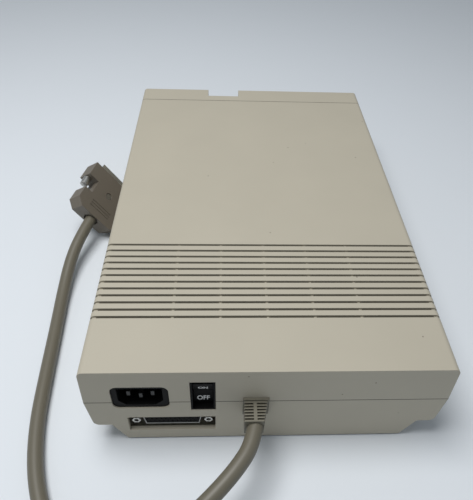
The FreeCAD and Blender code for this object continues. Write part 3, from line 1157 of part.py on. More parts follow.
def make_boot():
    x = s.boot_across
    z = s.boot_level
    half = s.boot_width / 2
    tip = s.boot_tip_width / 2
    shift = math.tan(math.radians(s.boot_turn.number)) * s.boot_length * 0.6
    bottom = z - s.boot_height / 2
    top = z + s.boot_height / 2
    body = prism("boot_body", "XY", [(x - half + 0.6, rear), (x + half - 0.6, rear),
                                     (x + tip + shift, rear + s.boot_length),
                                     (x - tip + shift, rear + s.boot_length)], bottom, top)
    rise = s.boot_collar_rise / 2
    collar = box("boot_collar_plate", (x - half, rear, bottom - rise), (x + half, rear + s.boot_collar,
                                                                       top + rise))
    neck_half = s.boot_neck / 2 - s.panel_fit
    neck = box("boot_neck_block", (x - neck_half, panel_inside - 3, z - neck_half),
               (x + neck_half, rear + 0.5, z + neck_half))
    grip = box("boot_grip", (x - half, panel_inside - 3, z - half), (x + half, panel_inside, z + half))
    slits = []
    for number in range(int(s.slit_count.number)):
        y = rear + s.boot_collar + 1.1 + number * s.slit_pitch
        slits.append(box("slit_left_%d" % number, (x - half - 1, y, top - s.slit_depth),
                         (x - s.slit_rib / 2 + shift * 0.5, y + s.slit_width, top + 1)))
        slits.append(box("slit_right_%d" % number, (x + s.slit_rib / 2 + shift * 0.5, y, top - s.slit_depth),
                         (x + half + 4, y + s.slit_width, top + 1)))
    start = CORD_ROUTE[0]
    toward = FreeCAD.Vector(*CORD_ROUTE[1]) - FreeCAD.Vector(*start)
    bore = doc.addObject("Part::Cylinder", "boot_bore")
    bore.Placement = FreeCAD.Placement(FreeCAD.Vector(*start),
                                       FreeCAD.Rotation(FreeCAD.Vector(0, 0, 1), toward))
    bind(bore, "Radius", s.cord_diameter / 2 + s.fit_clearance)
    bind(bore, "Height", s.boot_length + 10)
    node("strain_relief", cut("boot_cut", joined("boot_blank", [body, collar, neck, grip]), slits + [bore]))


def hood_placement():
    """The hood leans on its lower edge; its axis runs from the cord's end to the connector."""
    heading = math.radians(s.hood_heading.number)
    rise = math.radians(s.hood_rise.number)
    lean = math.radians(s.hood_lean.number)
    along = FreeCAD.Vector(math.cos(heading) * math.cos(rise), math.sin(heading) * math.cos(rise),
                           math.sin(rise))
    level = FreeCAD.Vector(math.sin(heading), -math.cos(heading), 0)
    upward = level.cross(along)
    across = level * math.cos(lean) - upward * math.sin(lean)
    face = upward * math.cos(lean) + level * math.sin(lean)
    spot = FreeCAD.Vector(s.hood_across.number, s.hood_along.number, s.hood_level.number)
    return FreeCAD.Placement(spot, FreeCAD.Rotation(across, along, face, "XYZ"))


def hood_outline(half):
    end = s.hood_end_width / 2
    bay = half - s.hood_bay_depth
    ear = s.hood_ear_width / 2
    right = [(end, 0.0), (half, s.hood_end_slope), (half, s.hood_bay_start), (bay, s.hood_bay_start),
             (bay, s.hood_bay_end), (ear, s.hood_bay_end), (ear, s.hood_length)]
    return right + [(-across, along) for across, along in reversed(right)]


def placed(thing):
    thing.Placement = hood_placement()
    return thing


def make_hood():
    half = s.hood_width / 2
    middle = s.hood_thickness / 2
    jack = s.jack_spacing / 2
    halves = (("hood_lower", Dim.of(0.0), middle), ("hood_upper", middle, s.hood_thickness))
    for name, low, high in halves:
        blank = prism(name + "_blank", "XY", hood_outline(half), low, high)
        tools = [
            rod(name + "_bore", s.cord_diameter / 2 + s.fit_clearance, (0.0, -1.0, middle),
                s.hood_bore_depth + 1, "y"),
            rod(name + "_mouth", s.hood_mouth_radius, (0.0, -1.0, middle), s.hood_mouth_depth + 1, "y"),
            rod(name + "_screw_bore", s.hood_screw_radius + s.fit_clearance,
                (0.0, s.hood_screw_along, -1.0), s.hood_thickness + 2),
            box(name + "_pocket",
                (-s.shell_width / 2 - 1.2, s.hood_length - 9.0, middle - s.shell_height / 2 - 1.2),
                (s.shell_width / 2 + 1.2, s.hood_length + 1, middle + s.shell_height / 2 + 1.2)),
        ]
        for n, side in enumerate((-1, 1)):
            tools.append(rod("%s_jack_bore_%d" % (name, n), s.jackscrew_radius + s.fit_clearance,
                             (side * jack, s.hood_bay_end - 1, middle),
                             s.hood_length, "y"))
        if name == "hood_upper":
            tools.append(rod("hood_screw_sink", s.hood_screw_head + s.play,
                             (0.0, s.hood_screw_along, s.hood_thickness - s.hood_screw_sink), 4.0))
            for n in range(int(s.grip_count.number)):
                y = s.grip_first + s.grip_pitch * n
                tools.append(box("hood_grip_%d" % n,
                                 (-s.grip_half, y, s.hood_thickness - s.grip_depth),
                                 (s.grip_half, y + s.grip_width, s.hood_thickness + 1)))
        node(name, placed(cut(name + "_cut", blank, tools)))
    shank = rod("hood_screw_shank", s.hood_screw_radius, (0.0, s.hood_screw_along, 1.0),
                s.hood_thickness - 3.0)
    head = rod("hood_screw_head_disc", s.hood_screw_head,
               (0.0, s.hood_screw_along, s.hood_thickness - s.hood_screw_sink), 1.8)
    node("hood_screw", placed(joined("hood_screw_whole", [shank, head])))
    for n, side in enumerate((-1, 1)):
        x = side * jack
        name = ("left_jackscrew", "right_jackscrew")[n]
        knob = rod(name + "_knob", s.jackscrew_knob, (x, s.hood_bay_end - s.jackscrew_grip, middle),
                   s.jackscrew_grip - s.play, "y")
        shaft = rod(name + "_shaft", s.jackscrew_radius, (x, s.hood_bay_end - 1.0, middle),
                    s.hood_length - s.hood_bay_end + s.plug_shell_length, "y")
        node(name, placed(joined(name + "_whole", [knob, shaft])))


def make_plug():
    middle = s.hood_thickness / 2
    nose = s.hood_length + s.flange_sheet
    step = s.hood_length
    flange = box("plug_flange", (-s.flange_width / 2, step, middle - s.flange_height / 2),
                 (s.flange_width / 2, nose, middle + s.flange_height / 2))
    outer = d_outline(Dim.of(0.0), middle, s.shell_width + 1.2, s.shell_height + 1.2, s.shell_slant)
    inner = d_outline(Dim.of(0.0), middle, s.shell_width + 0.2, s.shell_height + 0.2, s.shell_slant)
    wall = prism("plug_wall", "XZ", outer, step, nose + s.plug_shell_length - 1.0)
    space = prism("plug_space", "XZ", inner, step - 1, nose + s.plug_shell_length)
    holes = [rod("plug_jack_hole_%d" % n, s.jackscrew_radius + s.fit_clearance,
                 (side * s.jack_spacing / 2, step - 1, middle), 4.0, "y")
             for n, side in enumerate((-1, 1))]
    node("plug_shell", placed(cut("plug_cut", joined("plug_blank", [flange, wall]), [space] + holes)))
    core_outline = d_outline(Dim.of(0.0), middle, s.shell_width, s.shell_height, s.shell_slant)
    core = prism("plug_core", "XZ", core_outline, s.hood_length - 8.6, s.hood_length + 1.5)
    sockets = []
    pins = []
    for n, (cx, cz) in enumerate(contact_places(Dim.of(0.0), middle)):
        sockets.append(rod("pin_seat_%d" % n, s.contact_radius + s.fit_clearance,
                           (cx, s.hood_length - 1.5, cz), 4.0, "y"))
        pins.append(rod("plug_pin_%d" % n, s.contact_radius, (cx, s.hood_length - 1.5, cz),
                        s.plug_shell_length + 1.0, "y"))
    node("plug_insulator", placed(cut("plug_core_cut", core, sockets)))
    node("plug_pins", placed(together("plug_pin_set", pins)))


def make_cord():
    end = hood_placement().multVec(FreeCAD.Vector(0, s.cord_grip.number, s.hood_thickness.number / 2))
    route = CORD_ROUTE + [(end.x, end.y, end.z)]
    node("signal_cord", feature("cord_tube", tube(route, s.cord_diameter.number / 2)))


def main():
    make_lower_case()
    make_upper_case()
    make_front_bezel()
    make_feet_and_screws()
    make_faceplate()
    make_lever()
    make_chassis()
    make_guides()
    make_spindle()
    make_clamp()
    make_carriage()
    make_stepper()
    make_logic_board()
    make_brackets()
    make_supply()
    make_transformer()
    make_inlet()
    make_switch()
    make_port()
    make_link_parts()
    make_ribbon()
    make_leads()
    make_boot()
    make_hood()
    make_plug()
    make_cord()
    doc.recompute()
    faults = [thing.Name for thing in doc.Objects
              if "Invalid" in thing.State or "Error" in thing.State]
    if faults:
        raise RuntimeError("objects failed: %s" % faults)
    for name, thing in nodes.items():
        if thing.Shape.isNull() or not thing.Shape.isValid():
            raise RuntimeError("bad shape: " + name)
    os.makedirs("parts", exist_ok=True)
    for name, thing in nodes.items():
        thing.Shape.exportStep("parts/%s.step" % name)
        bounds = thing.Shape.BoundBox
        print("%-22s solids %2d volume %10.1f x %7.1f %7.1f y %7.1f %7.1f z %6.1f %6.1f" % (
            name, len(thing.Shape.Solids), thing.Shape.Volume, bounds.XMin, bounds.XMax,
            bounds.YMin, bounds.YMax, bounds.ZMin, bounds.ZMax))
    print(len(nodes), "nodes")


main()
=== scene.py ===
# %% [markdown]
# # External floppy disk drive
# A low desktop case seen from behind and above: a vented top, a mains inlet, a rocker switch,
# a connector for a second drive, and a captive cord that lies beside the case with its plug.
# The solids come ready made from the frame, in metres, so these cells add what solids lack: the
# view, the cord's smooth bends, the surfaces, the printed words and the light.

# %% Load the frame
import math

import bpy
from mathutils import Matrix, Vector


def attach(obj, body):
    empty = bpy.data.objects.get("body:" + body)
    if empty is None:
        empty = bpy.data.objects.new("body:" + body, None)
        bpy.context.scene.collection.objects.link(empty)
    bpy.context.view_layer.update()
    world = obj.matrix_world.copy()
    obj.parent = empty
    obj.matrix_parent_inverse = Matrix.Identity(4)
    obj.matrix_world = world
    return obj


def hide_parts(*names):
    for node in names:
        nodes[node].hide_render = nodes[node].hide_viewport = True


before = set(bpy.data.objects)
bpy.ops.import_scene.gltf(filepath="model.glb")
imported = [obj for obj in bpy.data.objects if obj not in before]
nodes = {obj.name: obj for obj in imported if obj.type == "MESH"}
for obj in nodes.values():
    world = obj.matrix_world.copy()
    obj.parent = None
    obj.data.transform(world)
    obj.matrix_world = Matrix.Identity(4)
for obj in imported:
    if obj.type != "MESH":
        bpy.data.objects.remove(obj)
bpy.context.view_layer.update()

# %% [markdown]
# ## Camera
# The view could be set by eye, but here it was fitted to the long edges of the case, which pins
# down the height, the tilt and the lens together. The camera stands behind the rear panel, high
# enough to see the whole top. Its picture is a crop, so the lens is shifted sideways. Turning the
# camera instead would change how the edges of the case run together.

# %% Where the camera stands
CAMERA_PLACE = Vector((0.02709, 0.33625, 0.32012))
CAMERA_RIGHT = Vector((-0.99845, 0.03793, 0.04074))
CAMERA_UP = Vector((0.00383, -0.68341, 0.73002))

right = CAMERA_RIGHT.normalized()
back = right.cross(CAMERA_UP).normalized()
upright = back.cross(right)
print("camera stands %.0f mm above the table" % (1000 * CAMERA_PLACE.z))

# %% Camera
LENS_MM = 38.25
SENSOR_MM = 36.0
SHIFT = (-0.0338, 0.004)
NEAREST = 0.01
PICTURE = (946, 1000)

scene = bpy.context.scene
camera_data = bpy.data.cameras.new("camera")
camera_data.lens = LENS_MM
camera_data.sensor_width = SENSOR_MM
camera_data.sensor_fit = "AUTO"
camera_data.shift_x, camera_data.shift_y = SHIFT
camera_data.clip_start = NEAREST
camera_data.dof.use_dof = False
camera = bpy.data.objects.new("camera", camera_data)
scene.collection.objects.link(camera)
camera.matrix_world = Matrix.Translation(CAMERA_PLACE) @ Matrix(
    (right, upright, back)).transposed().to_4x4()
scene.camera = camera
scene.render.resolution_x, scene.render.resolution_y = PICTURE
scene.render.resolution_percentage = 100
scene.view_settings.view_transform = "Standard"
print("camera:", LENS_MM, "mm lens, picture", PICTURE)

# %% [markdown]
# ## Signal cord
# A round jacket drawn over a bundle of fine conductors. It leaves the strain relief, drops behind
# the case and turns along its side to the plug, which it carries. Joined straight runs would look
# like bent wire. A spline through a few listed points gives the even bends of a springy cable.

# %% Route of the signal cord
CORD_DIAMETER = 0.0094
CORD_ROUTE_MM = [
    (7.4, 176.0, 38.2), (10.2, 192.0, 38.2), (19.3, 206.0, 37.2), (34.0, 221.0, 34.0),
    (54.0, 236.5, 27.5), (80.0, 246.0, 16.0), (105.0, 241.0, 7.0), (125.0, 221.5, 4.8),
    (138.0, 193.5, 4.7), (145.3, 161.0, 4.7), (148.3, 122.0, 4.7), (150.8, 82.0, 4.7),
    (153.3, 45.0, 6.0), (152.3, 15.0, 12.8), (146.9, -9.2, 18.8), (140.8, -28.0, 22.1),
]

route = [Vector(point) / 1000 for point in CORD_ROUTE_MM]

# %% [markdown]
# ## Drawing the cord
# A tube could be swept along the route as a mesh, but a curve with a round bevel stays smooth and
# can still be edited. Here the bevel is 1 and each point carries the cord's radius, because a
# curve's measured box grows by whatever radius its points have.

# %% Signal cord
cord_data = bpy.data.curves.new("signal_cord_line", "CURVE")
cord_data.dimensions = "3D"
cord_data.bevel_depth = 1.0
cord_data.bevel_resolution = 8
cord_data.resolution_u = 16
cord_data.use_fill_caps = True
spline = cord_data.splines.new("NURBS")
spline.points.add(len(route) - 1)
for point, place in zip(spline.points, route):
    point.co = (*place, 1.0)
    point.radius = CORD_DIAMETER / 2
spline.order_u = 3
spline.use_endpoint_u = True
cord = bpy.data.objects.new("cord_line", cord_data)
scene.collection.objects.link(cord)
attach(cord, "root")
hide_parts("signal_cord")
print("cord drawn, %.1f mm thick" % (1000 * CORD_DIAMETER))

# %% [markdown]
# ## Surfaces
# Several materials need the same small effects, and copying their nodes into each would be long
# and easy to get wrong. A node group is built once and placed in each material with its own
# values. These two helpers make an empty group and put joined nodes in it.

# %% Helpers for shared effects


def effect(name, inputs, outputs):
    """An empty node group with number or colour inputs and the named outputs."""
    group = bpy.data.node_groups.new(name, "ShaderNodeTree")
    for label, kind, value in inputs:
        socket = group.interface.new_socket(label, in_out="INPUT", socket_type=kind)
        socket.default_value = value
    for label, kind in outputs:
        group.interface.new_socket(label, in_out="OUTPUT", socket_type=kind)
    return group, group.nodes.new("NodeGroupInput"), group.nodes.new("NodeGroupOutput")


def added(group, kind, inputs, operation=None):
    """A new node whose inputs are each joined to a socket or set to a value."""
    node = group.nodes.new(kind)
    if operation:
        node.operation = operation
    for label, value in inputs.items():
        if isinstance(value, bpy.types.NodeSocket):
            group.links.new(value, node.inputs[label])
        else:
            node.inputs[label].default_value = value
    return node


print("helpers ready:", effect.__name__, added.__name__)

# %% [markdown]
# ## Grain
# Moulded plastic is never quite even: the tool's fine spark texture breaks up its shine, its colour
# drifts a little, and every edge is slightly round. A flat colour with sharp edges would look like
# a drawing. One noise makes the slow drift, a finer one the texture, and a bevel the edges.

# %% Grain
DRIFT_PATCHES_PER_METRE = 22.0
DRIFT_DETAIL = 3.0
GRAIN_DETAIL = 2.0
GRAIN_HEIGHT = 0.0001
EDGE_SAMPLES = 4


def grain_effect():
    """Fine bumps, a slow drift of colour and shine, and softened edges."""
    group, given, made = effect("grain", [
        ("Color", "NodeSocketColor", (0.5, 0.5, 0.5, 1)), ("Drift", "NodeSocketFloat", 0.06),
        ("Roughness", "NodeSocketFloat", 0.5), ("Scale", "NodeSocketFloat", 1400.0),
        ("Depth", "NodeSocketFloat", 0.15), ("Edge", "NodeSocketFloat", 0.0003),
    ], [("Color", "NodeSocketColor"), ("Roughness", "NodeSocketFloat"),
        ("Normal", "NodeSocketVector")])
    place = added(group, "ShaderNodeTexCoord", {}).outputs["Object"]
    slow = added(group, "ShaderNodeTexNoise", {
        "Vector": place, "Scale": DRIFT_PATCHES_PER_METRE, "Detail": DRIFT_DETAIL})
    centred = added(group, "ShaderNodeMath", {0: slow.outputs["Fac"], 1: 0.5}, "SUBTRACT")
    swing = added(group, "ShaderNodeMath", {
        0: centred.outputs[0], 1: given.outputs["Drift"], 2: 1.0}, "MULTIPLY_ADD")
    tint = added(group, "ShaderNodeVectorMath", {
        0: given.outputs["Color"], "Scale": swing.outputs[0]}, "SCALE")
    shine = added(group, "ShaderNodeMath", {
        0: given.outputs["Roughness"], 1: swing.outputs[0]}, "MULTIPLY")
    fine = added(group, "ShaderNodeTexNoise", {
        "Vector": place, "Scale": given.outputs["Scale"], "Detail": GRAIN_DETAIL})
    edge = added(group, "ShaderNodeBevel", {"Radius": given.outputs["Edge"]})
    edge.samples = EDGE_SAMPLES
    bump = added(group, "ShaderNodeBump", {
        "Strength": given.outputs["Depth"], "Distance": GRAIN_HEIGHT,
        "Height": fine.outputs["Fac"], "Normal": edge.outputs["Normal"]})
    group.links.new(tint.outputs[0], made.inputs["Color"])
    group.links.new(shine.outputs[0], made.inputs["Roughness"])
    group.links.new(bump.outputs["Normal"], made.inputs["Normal"])
    return group


GRAIN = grain_effect()
print("effect made:", GRAIN.name)

# %% [markdown]
# ## Ridges
# Screw grooves, a transformer's stacked sheets, layers of tape and the wires of a flat cable are
# all even stripes across one axis. They are too fine to be worth solid shape inside a closed case,
# so a wave along the axis gives a mask that another colour is mixed in by.

# %% Ridges
ALONG_X = (1.0, 0.0, 0.0)
ALONG_Y = (0.0, 1.0, 0.0)
ALONG_Z = (0.0, 0.0, 1.0)


def ridge_effect():
    """Even ridges across an axis, for screw grooves, laminations and layers of tape."""
    group, given, made = effect("ridges", [
        ("Pitch", "NodeSocketFloat", 0.001), ("Axis", "NodeSocketVector", (0.0, 0.0, 0.0)),
    ], [("Mask", "NodeSocketFloat")])
    place = added(group, "ShaderNodeTexCoord", {}).outputs["Object"]
    along = added(group, "ShaderNodeVectorMath", {0: place, 1: given.outputs["Axis"]},
                  "DOT_PRODUCT")
    steps = added(group, "ShaderNodeMath", {
        0: along.outputs["Value"], 1: given.outputs["Pitch"]}, "DIVIDE")
    wave = added(group, "ShaderNodeMath", {0: steps.outputs[0], 1: 0.5}, "PINGPONG")
    group.links.new(wave.outputs[0], made.inputs["Mask"])
    return group


RIDGES = ridge_effect()
print("effect made:", RIDGES.name)

# %% [markdown]
# ## Specks
# An old pale top carries a few small dark specks of dust. Painting them one by one would take a
# picture; the middles of a scatter of cells give the same chance look at any size.

# %% Specks
SPECK_RADIUS = 0.03


def speck_effect():
    """A few small dark specks, as dust leaves on an old top."""
    group, given, made = effect("specks", [("Scale", "NodeSocketFloat", 55.0)],
                                [("Mask", "NodeSocketFloat")])
    place = added(group, "ShaderNodeTexCoord", {}).outputs["Object"]
    cells = added(group, "ShaderNodeTexVoronoi", {
        "Vector": place, "Scale": given.outputs["Scale"]})
    small = added(group, "ShaderNodeMath", {
        0: cells.outputs["Distance"], 1: SPECK_RADIUS}, "LESS_THAN")
    group.links.new(small.outputs[0], made.inputs["Mask"])
    return group


SPECKS = speck_effect()
print("effect made:", SPECKS.name)

# %% [markdown]
# ## Bands
# Where two mouldings meet there is a hairline of shade that the gap alone hardly shows. A band is
# 1 within half a width of a place along an axis, so it can darken just that line.

# %% Bands


def band_effect():
    """A mask that is 1 within half a width of a place along an axis."""
    group, given, made = effect("band", [
        ("Axis", "NodeSocketVector", ALONG_Z), ("Place", "NodeSocketFloat", 0.0),
        ("Half", "NodeSocketFloat", 0.0002),
    ], [("Mask", "NodeSocketFloat")])
    place = added(group, "ShaderNodeTexCoord", {}).outputs["Object"]
    along = added(group, "ShaderNodeVectorMath", {0: place, 1: given.outputs["Axis"]},
                  "DOT_PRODUCT")
    close = added(group, "ShaderNodeMath", {
        0: along.outputs["Value"], 1: given.outputs["Place"], 2: given.outputs["Half"]}, "COMPARE")
    group.links.new(close.outputs[0], made.inputs["Mask"])
    return group


BAND = band_effect()
print("effect made:", BAND.name)

# %% [markdown]
# ## A finish
# Each finish is a short recipe: a colour, how rough it is, whether it is metal, and how coarse its
# grain is. Building every material by hand would hide these few numbers among the nodes, so one
# function builds them all around the shared grain.

# %% Finish from a recipe
PLASTIC_GRAIN = 1400.0
METAL_GRAIN = 3000.0


def use(material, group):
    """Places a shared effect in a material."""
    chosen = material.node_tree.nodes.new("ShaderNodeGroup")
    chosen.node_tree = group
    return chosen


def finish(name, colour, roughness, metal=0.0, grain=PLASTIC_GRAIN, depth=0.15, drift=0.06,
           edge=0.0003, coat=0.0, specular=0.5):
    """A material of one colour, with the shared grain in its colour, shine and normal."""
    material = bpy.data.materials.new(name)
    material.use_nodes = True
    material.diffuse_color = (*colour, 1.0)
    shader = material.node_tree.nodes["Principled BSDF"]
    shader.inputs["Metallic"].default_value = metal
    shader.inputs["Coat Weight"].default_value = coat
    shader.inputs["Specular IOR Level"].default_value = specular
    surface = use(material, GRAIN)
    surface.name = "surface"
    surface.inputs["Color"].default_value = (*colour, 1.0)
    for label, value in (("Drift", drift), ("Roughness", roughness), ("Scale", grain),
                         ("Depth", depth), ("Edge", edge)):
        surface.inputs[label].default_value = value
    join = material.node_tree.links.new
    join(surface.outputs["Color"], shader.inputs["Base Color"])
    join(surface.outputs["Roughness"], shader.inputs["Roughness"])
    join(surface.outputs["Normal"], shader.inputs["Normal"])
    return material


print("grain per metre:", PLASTIC_GRAIN, "on plastic,", METAL_GRAIN, "on metal")

# %% [markdown]
# ## Marks on a finish
# Specks, seams and ridges lie on top of a finish. Each mixes a second colour in where its mask is
# 1, in front of whatever feeds the colour already, so marks can be laid one over another.

# %% Marks on a finish


def darkened(material, mask, colour):
    """Mixes another colour in where the mask is 1."""
    tree = material.node_tree
    blend = tree.nodes.new("ShaderNodeMix")
    blend.data_type = "RGBA"
    tree.links.new(mask, blend.inputs[0])
    before = tree.nodes["Principled BSDF"].inputs["Base Color"].links[0].from_socket
    tree.links.new(before, blend.inputs[6])
    blend.inputs[7].default_value = (*colour, 1.0)
    tree.links.new(blend.outputs[2], tree.nodes["Principled BSDF"].inputs["Base Color"])
    return material


def ridged(material, pitch, axis, colour):
    """Shades a finish in even stripes across an axis."""
    marks = use(material, RIDGES)
    marks.inputs["Pitch"].default_value = pitch
    marks.inputs["Axis"].default_value = axis
    return darkened(material, marks.outputs["Mask"], colour)


def banded(material, axis, place, half, colour):
    """Shades one line of a finish, at a place along an axis."""
    marks = use(material, BAND)
    for label, value in (("Axis", axis), ("Place", place), ("Half", half)):
        marks.inputs[label].default_value = value
    return darkened(material, marks.outputs["Mask"], colour)


print("marks ready:", ridged.__name__, banded.__name__)

# %% [markdown]
# ## Case
# The mouldings are a warm beige that has yellowed slightly, with a spark-eroded surface. One band
# darkens the seam between the shells and another the joint behind the front bezel.

# %% Case
SEAM_LEVEL = 0.0423
BEZEL_BACK = -0.146
SEAM_HALF = 0.0003
SEAM_SHADE = (0.045, 0.04, 0.03)
SPECK_SHADE = (0.22, 0.19, 0.15)

case = finish("case_beige", (0.43, 0.395, 0.315), 0.6, depth=0.22, drift=0.08)
darkened(case, use(case, SPECKS).outputs["Mask"], SPECK_SHADE)
banded(case, ALONG_Z, SEAM_LEVEL, SEAM_HALF, SEAM_SHADE)
banded(case, ALONG_Y, BEZEL_BACK, SEAM_HALF, SEAM_SHADE)
print("case finish:", case.name)

# %% [markdown]
# ## Rear panel
# The inlet and the switch are matt black mouldings that throw back very little light, so their
# shine is turned down. The port's shell is bright metal seen against a dark gap. As a true metal
# it would mirror the black parts round it, so it is a pale plain finish with a dark band across.

# %% Rear panel
PORT_PLATE = 0.1595
PORT_PLATE_HALF = 0.0006
PORT_GAP_SHADE = (0.006, 0.006, 0.006)

black = finish("black_moulding", (0.002, 0.002, 0.002), 0.6, depth=0.05, specular=0.15)
# Painted shade: the blades' very dark metal colour stands for the shade deep inside the inlet's
# black shroud.
blades = finish("blades_painted_shade", (0.07, 0.07, 0.07), 0.5, 1.0, METAL_GRAIN, 0.05)
shell = banded(finish("port_metal", (0.58, 0.57, 0.54), 0.35, 0.0, METAL_GRAIN, 0.08),
               ALONG_Y, PORT_PLATE, PORT_PLATE_HALF, PORT_GAP_SHADE)
ink = finish("white_ink", (0.80, 0.80, 0.78), 0.6, depth=0.0, edge=0.0)
print("rear panel finishes:", black.name, blades.name, shell.name, ink.name)

# %% [markdown]
# ## Cord and hood
# The jacket, its moulded relief and the hood are all taupe plastic. One finish for the three would
# run them together, so each has its own, a little apart in shade and in the depth of its texture.

# %% Cord and hood
jacket = finish("cord_jacket", (0.135, 0.122, 0.090), 0.45, grain=900.0, depth=0.12)
relief = finish("relief_moulding", (0.150, 0.138, 0.102), 0.5, depth=0.18)
hood = finish("hood_moulding", (0.145, 0.124, 0.096), 0.5, depth=0.25)
print("cord finishes:", jacket.name, relief.name, hood.name)

# %% [markdown]
# ## Metals
# Plated parts are smooth and bright, castings duller and coarser. The lead screw's groove is a
# coarse thread, so ridges at its pitch stand for it.

# %% Metals
LEAD_SCREW_PITCH = 0.00635
GROOVE_SHADE = (0.16, 0.15, 0.14)

plated = finish("plated_steel", (0.58, 0.57, 0.54), 0.32, 1.0, METAL_GRAIN, 0.08)
cast = finish("cast_metal", (0.52, 0.53, 0.54), 0.48, 1.0, METAL_GRAIN, 0.3)
groove = ridged(finish("lead_screw_steel", (0.60, 0.59, 0.57), 0.25, 1.0, METAL_GRAIN, 0.05),
                LEAD_SCREW_PITCH, ALONG_Y, GROOVE_SHADE)
print("metal finishes:", plated.name, cast.name, groove.name)

# %% [markdown]
# ## Transformer and wiring
# The core is a stack of thin sheets and the coil is wound under tape, so both get ridges. The flat
# cable's wires lie side by side at half a tenth of an inch, which ridges give as well.

# %% Transformer and wiring
SHEET_PITCH = 0.0010
SHEET_SHADE = (0.05, 0.045, 0.04)
TAPE_PITCH = 0.0090
TAPE_SHADE = (0.38, 0.28, 0.08)
FLAT_CABLE_PITCH = 0.00127
FLAT_CABLE_SHADE = (0.20, 0.20, 0.21)

core = ridged(finish("laminations", (0.16, 0.15, 0.14), 0.6, 0.6), SHEET_PITCH, ALONG_Y, SHEET_SHADE)
tape = ridged(finish("winding_tape", (0.55, 0.42, 0.12), 0.45), TAPE_PITCH, ALONG_Z, TAPE_SHADE)
ribbon = ridged(finish("flat_cable", (0.36, 0.36, 0.37), 0.5), FLAT_CABLE_PITCH, ALONG_X,
                FLAT_CABLE_SHADE)
sleeve = finish("capacitor_sleeve", (0.02, 0.035, 0.10), 0.25, depth=0.03)
wire = finish("wire_cover", (0.22, 0.21, 0.20), 0.5)
print("wiring finishes:", core.name, tape.name, ribbon.name, sleeve.name, wire.name)

# %% [markdown]
# ## Boards, small mouldings and feet
# Boards are green and glossy under a thin coat. The lamp's lens could be red glass, but a coated
# red finish takes less time and looks the same while the lamp is off. Nylon, filled plastic and
# rubber differ only in colour and roughness.

# %% Boards, small mouldings and feet
board = finish("solder_mask", (0.02, 0.13, 0.045), 0.28, coat=0.4, depth=0.05)
lamp = finish("red_lamp", (0.42, 0.02, 0.015), 0.15, depth=0.0, coat=0.6)
nylon = finish("natural_nylon", (0.66, 0.64, 0.58), 0.5)
filled = finish("filled_plastic", (0.05, 0.05, 0.053), 0.55)
rubber = finish("foot_rubber", (0.02, 0.02, 0.02), 0.8)
print("small finishes:", board.name, lamp.name, nylon.name, filled.name, rubber.name)

# %% [markdown]
# ## Dressing the solids
# The solids arrive as separate named nodes. Giving each a material one line at a time would hide
# which pieces are alike, so one table lists the nodes under the finish that they share.

# %% Which node has which finish
LOOKS = {
    case: ["lower_case", "upper_case", "front_bezel", "drive_faceplate", "latch_lever"],
    black: ["inlet_body", "switch_body", "switch_rocker", "port_insulator", "plug_insulator",
            "ribbon_socket", "logic_chips", "voltage_regulators"],
    nylon: ["power_sockets", "disk_guides"],
    lamp: ["activity_led"],
    blades: ["inlet_blades"],
    shell: ["port_shell"],
    plated: ["port_jack_nuts", "port_tails", "plug_shell", "plug_pins",
             "switch_tabs", "case_screws", "pan_screws", "board_screws",
             "left_jackscrew", "right_jackscrew", "hood_screw", "clamp_arm_pin",
             "carriage_rails", "drive_brackets", "transformer_strap", "mains_fuse"],
    groove: ["lead_screw"],
    cast: ["drive_chassis", "clamp_arm", "spindle_hub", "motor_rotor", "stepper_motor",
           "heat_sink"],
    filled: ["head_carriage", "upper_head_arm", "clamp_cone", "latch_cam"],
    board: ["motor_board", "drive_board", "supply_board", "interface_board"],
    core: ["transformer_core"],
    tape: ["transformer_coil"],
    sleeve: ["smoothing_capacitors"],
    wire: ["power_leads", "mains_leads"],
    ribbon: ["ribbon_cable"],
    rubber: ["rubber_feet"],
    relief: ["strain_relief"],
    hood: ["hood_lower", "hood_upper"],
}
print(len(LOOKS), "finishes for", sum(len(names) for names in LOOKS.values()), "nodes")

# %% Dress the solids
for material, names in LOOKS.items():
    for name in names:
        slots = nodes[name].material_slots
        if not slots:
            nodes[name].data.materials.append(material)
        for slot in slots:
            slot.material = material
cord_data.materials.append(jacket)
dressed = {name for names in LOOKS.values() for name in names} | {"signal_cord"}
print("nodes without a finish:", sorted(set(nodes) - dressed))

# %% [markdown]
# ## Lettering on the rocker
# The words are pad printed in white on the two halves of the rocker. A picture of them would blur
# close up, so each is a thin text object. It stands on its own half, tilted as that half is, and
# turns with the rocker when the switch is thrown. The halves lean away from a viewer above, so the
# letters are tall and narrow and sit a little low, and look even from there.

# %% Where the rocker's faces are
REAR_PANEL = 0.168
ROCKER_REACH = 0.0068
ROCKER_DIP = 0.0024
ROCKER_HALF = 0.0122
ROCKER_TILT = math.radians(-8.0)
ROCKER_PIVOT_DEPTH = 0.0095
SWITCH_MIDDLE = Vector((0.03885, REAR_PANEL - ROCKER_PIVOT_DEPTH, 0.04775))

to_rocker = Matrix.Translation(SWITCH_MIDDLE) @ Matrix.Rotation(ROCKER_TILT, 4, "X")
print("rocker turns about", [round(1000 * c, 1) for c in SWITCH_MIDDLE])

# %% Lettering on the rocker
INK_THICKNESS = 0.00004
INK_SPREAD = 0.02
WORD_DROP = 0.0018
WORDS = (("ON", 1, 0.0060, 0.62), ("OFF", -1, 0.0056, 0.78))


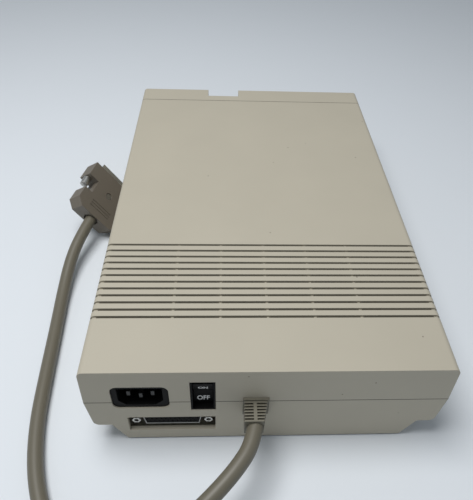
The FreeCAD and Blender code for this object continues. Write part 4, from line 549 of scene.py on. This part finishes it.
def word(text, side, height, narrowing):
    """A printed word a little below the middle of the upper (+1) or lower (-1) half."""
    face_up = Vector((0, side * ROCKER_DIP, ROCKER_HALF)).normalized()
    face_right = Vector((-1, 0, 0))
    outward = face_right.cross(face_up)
    middle = Vector((0, ROCKER_REACH - ROCKER_DIP / 2, side * ROCKER_HALF / 2))
    middle += outward * INK_THICKNESS - face_up * WORD_DROP
    facing = Matrix((face_right, face_up, outward)).transposed().to_4x4()
    font = bpy.data.curves.new("word_" + text.lower(), "FONT")
    font.body = text
    font.size = height
    font.offset = height * INK_SPREAD
    font.extrude = INK_THICKNESS
    font.align_x = "CENTER"
    font.align_y = "CENTER"
    font.materials.append(ink)
    piece = bpy.data.objects.new("word_" + text.lower(), font)
    scene.collection.objects.link(piece)
    piece.matrix_world = (to_rocker @ Matrix.Translation(middle) @ facing
                          @ Matrix.Diagonal((narrowing, 1.0, 1.0, 1.0)))
    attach(piece, "rocker")
    return piece


for text, side, height, narrowing in WORDS:
    printed = word(text, side, height, narrowing)
    print(printed.name, "at", [round(1000 * c, 1) for c in printed.matrix_world.translation])

# %% [markdown]
# ## Table
# A plain pale table holds the shadow and nothing else. It is far larger than the view needs, so
# its edge stays out of sight from every low angle.

# %% Table
TABLE_SIZE = 30.0
TABLE_COLOUR = (0.70, 0.735, 0.77)

bpy.ops.mesh.primitive_plane_add(size=TABLE_SIZE, location=(0.0, 0.0, 0.0))
table = bpy.context.object
table.name = "table"
table.data.materials.append(finish("pale_table", TABLE_COLOUR, 0.7, depth=0.0, drift=0.01, edge=0.0))
print("table:", TABLE_SIZE, "m across")

# %% [markdown]
# ## Light
# Two large soft lights and an even room. The main light hangs over the case, so the top is bright
# while the rear panel stays in its own shade and the far end of the table falls darker. A small
# lamp would draw hard edges on the shadow, which a bright room doesn't do.

# %% Light


def soft_light(name, place, size, power, aim):
    """A round light of a size in metres and a power in watts, turned to face a point."""
    data = bpy.data.lights.new(name, "AREA")
    data.shape = "DISK"
    data.size = size
    data.energy = power
    lit = bpy.data.objects.new(name, data)
    scene.collection.objects.link(lit)
    lit.location = place
    lit.rotation_euler = (Vector(aim) - Vector(place)).to_track_quat("-Z", "Y").to_euler()
    return lit


key = soft_light("key", place=(0.25, 0.10, 1.0), size=0.6, power=8.6, aim=(0.05, 0.05, 0.0))
fill = soft_light("fill", place=(0.7, 1.0, 0.8), size=0.9, power=0.3, aim=(0.1, 0.1, 0.03))
print("lights:", key.name, fill.name)

# %% Room
ROOM_COLOUR = (0.86, 0.93, 1.0, 1.0)
ROOM_STRENGTH = 0.30

world = bpy.data.worlds.new("room")
world.use_nodes = True
world.node_tree.nodes["Background"].inputs["Color"].default_value = ROOM_COLOUR
world.node_tree.nodes["Background"].inputs["Strength"].default_value = ROOM_STRENGTH
scene.world = world
print("room strength:", ROOM_STRENGTH)
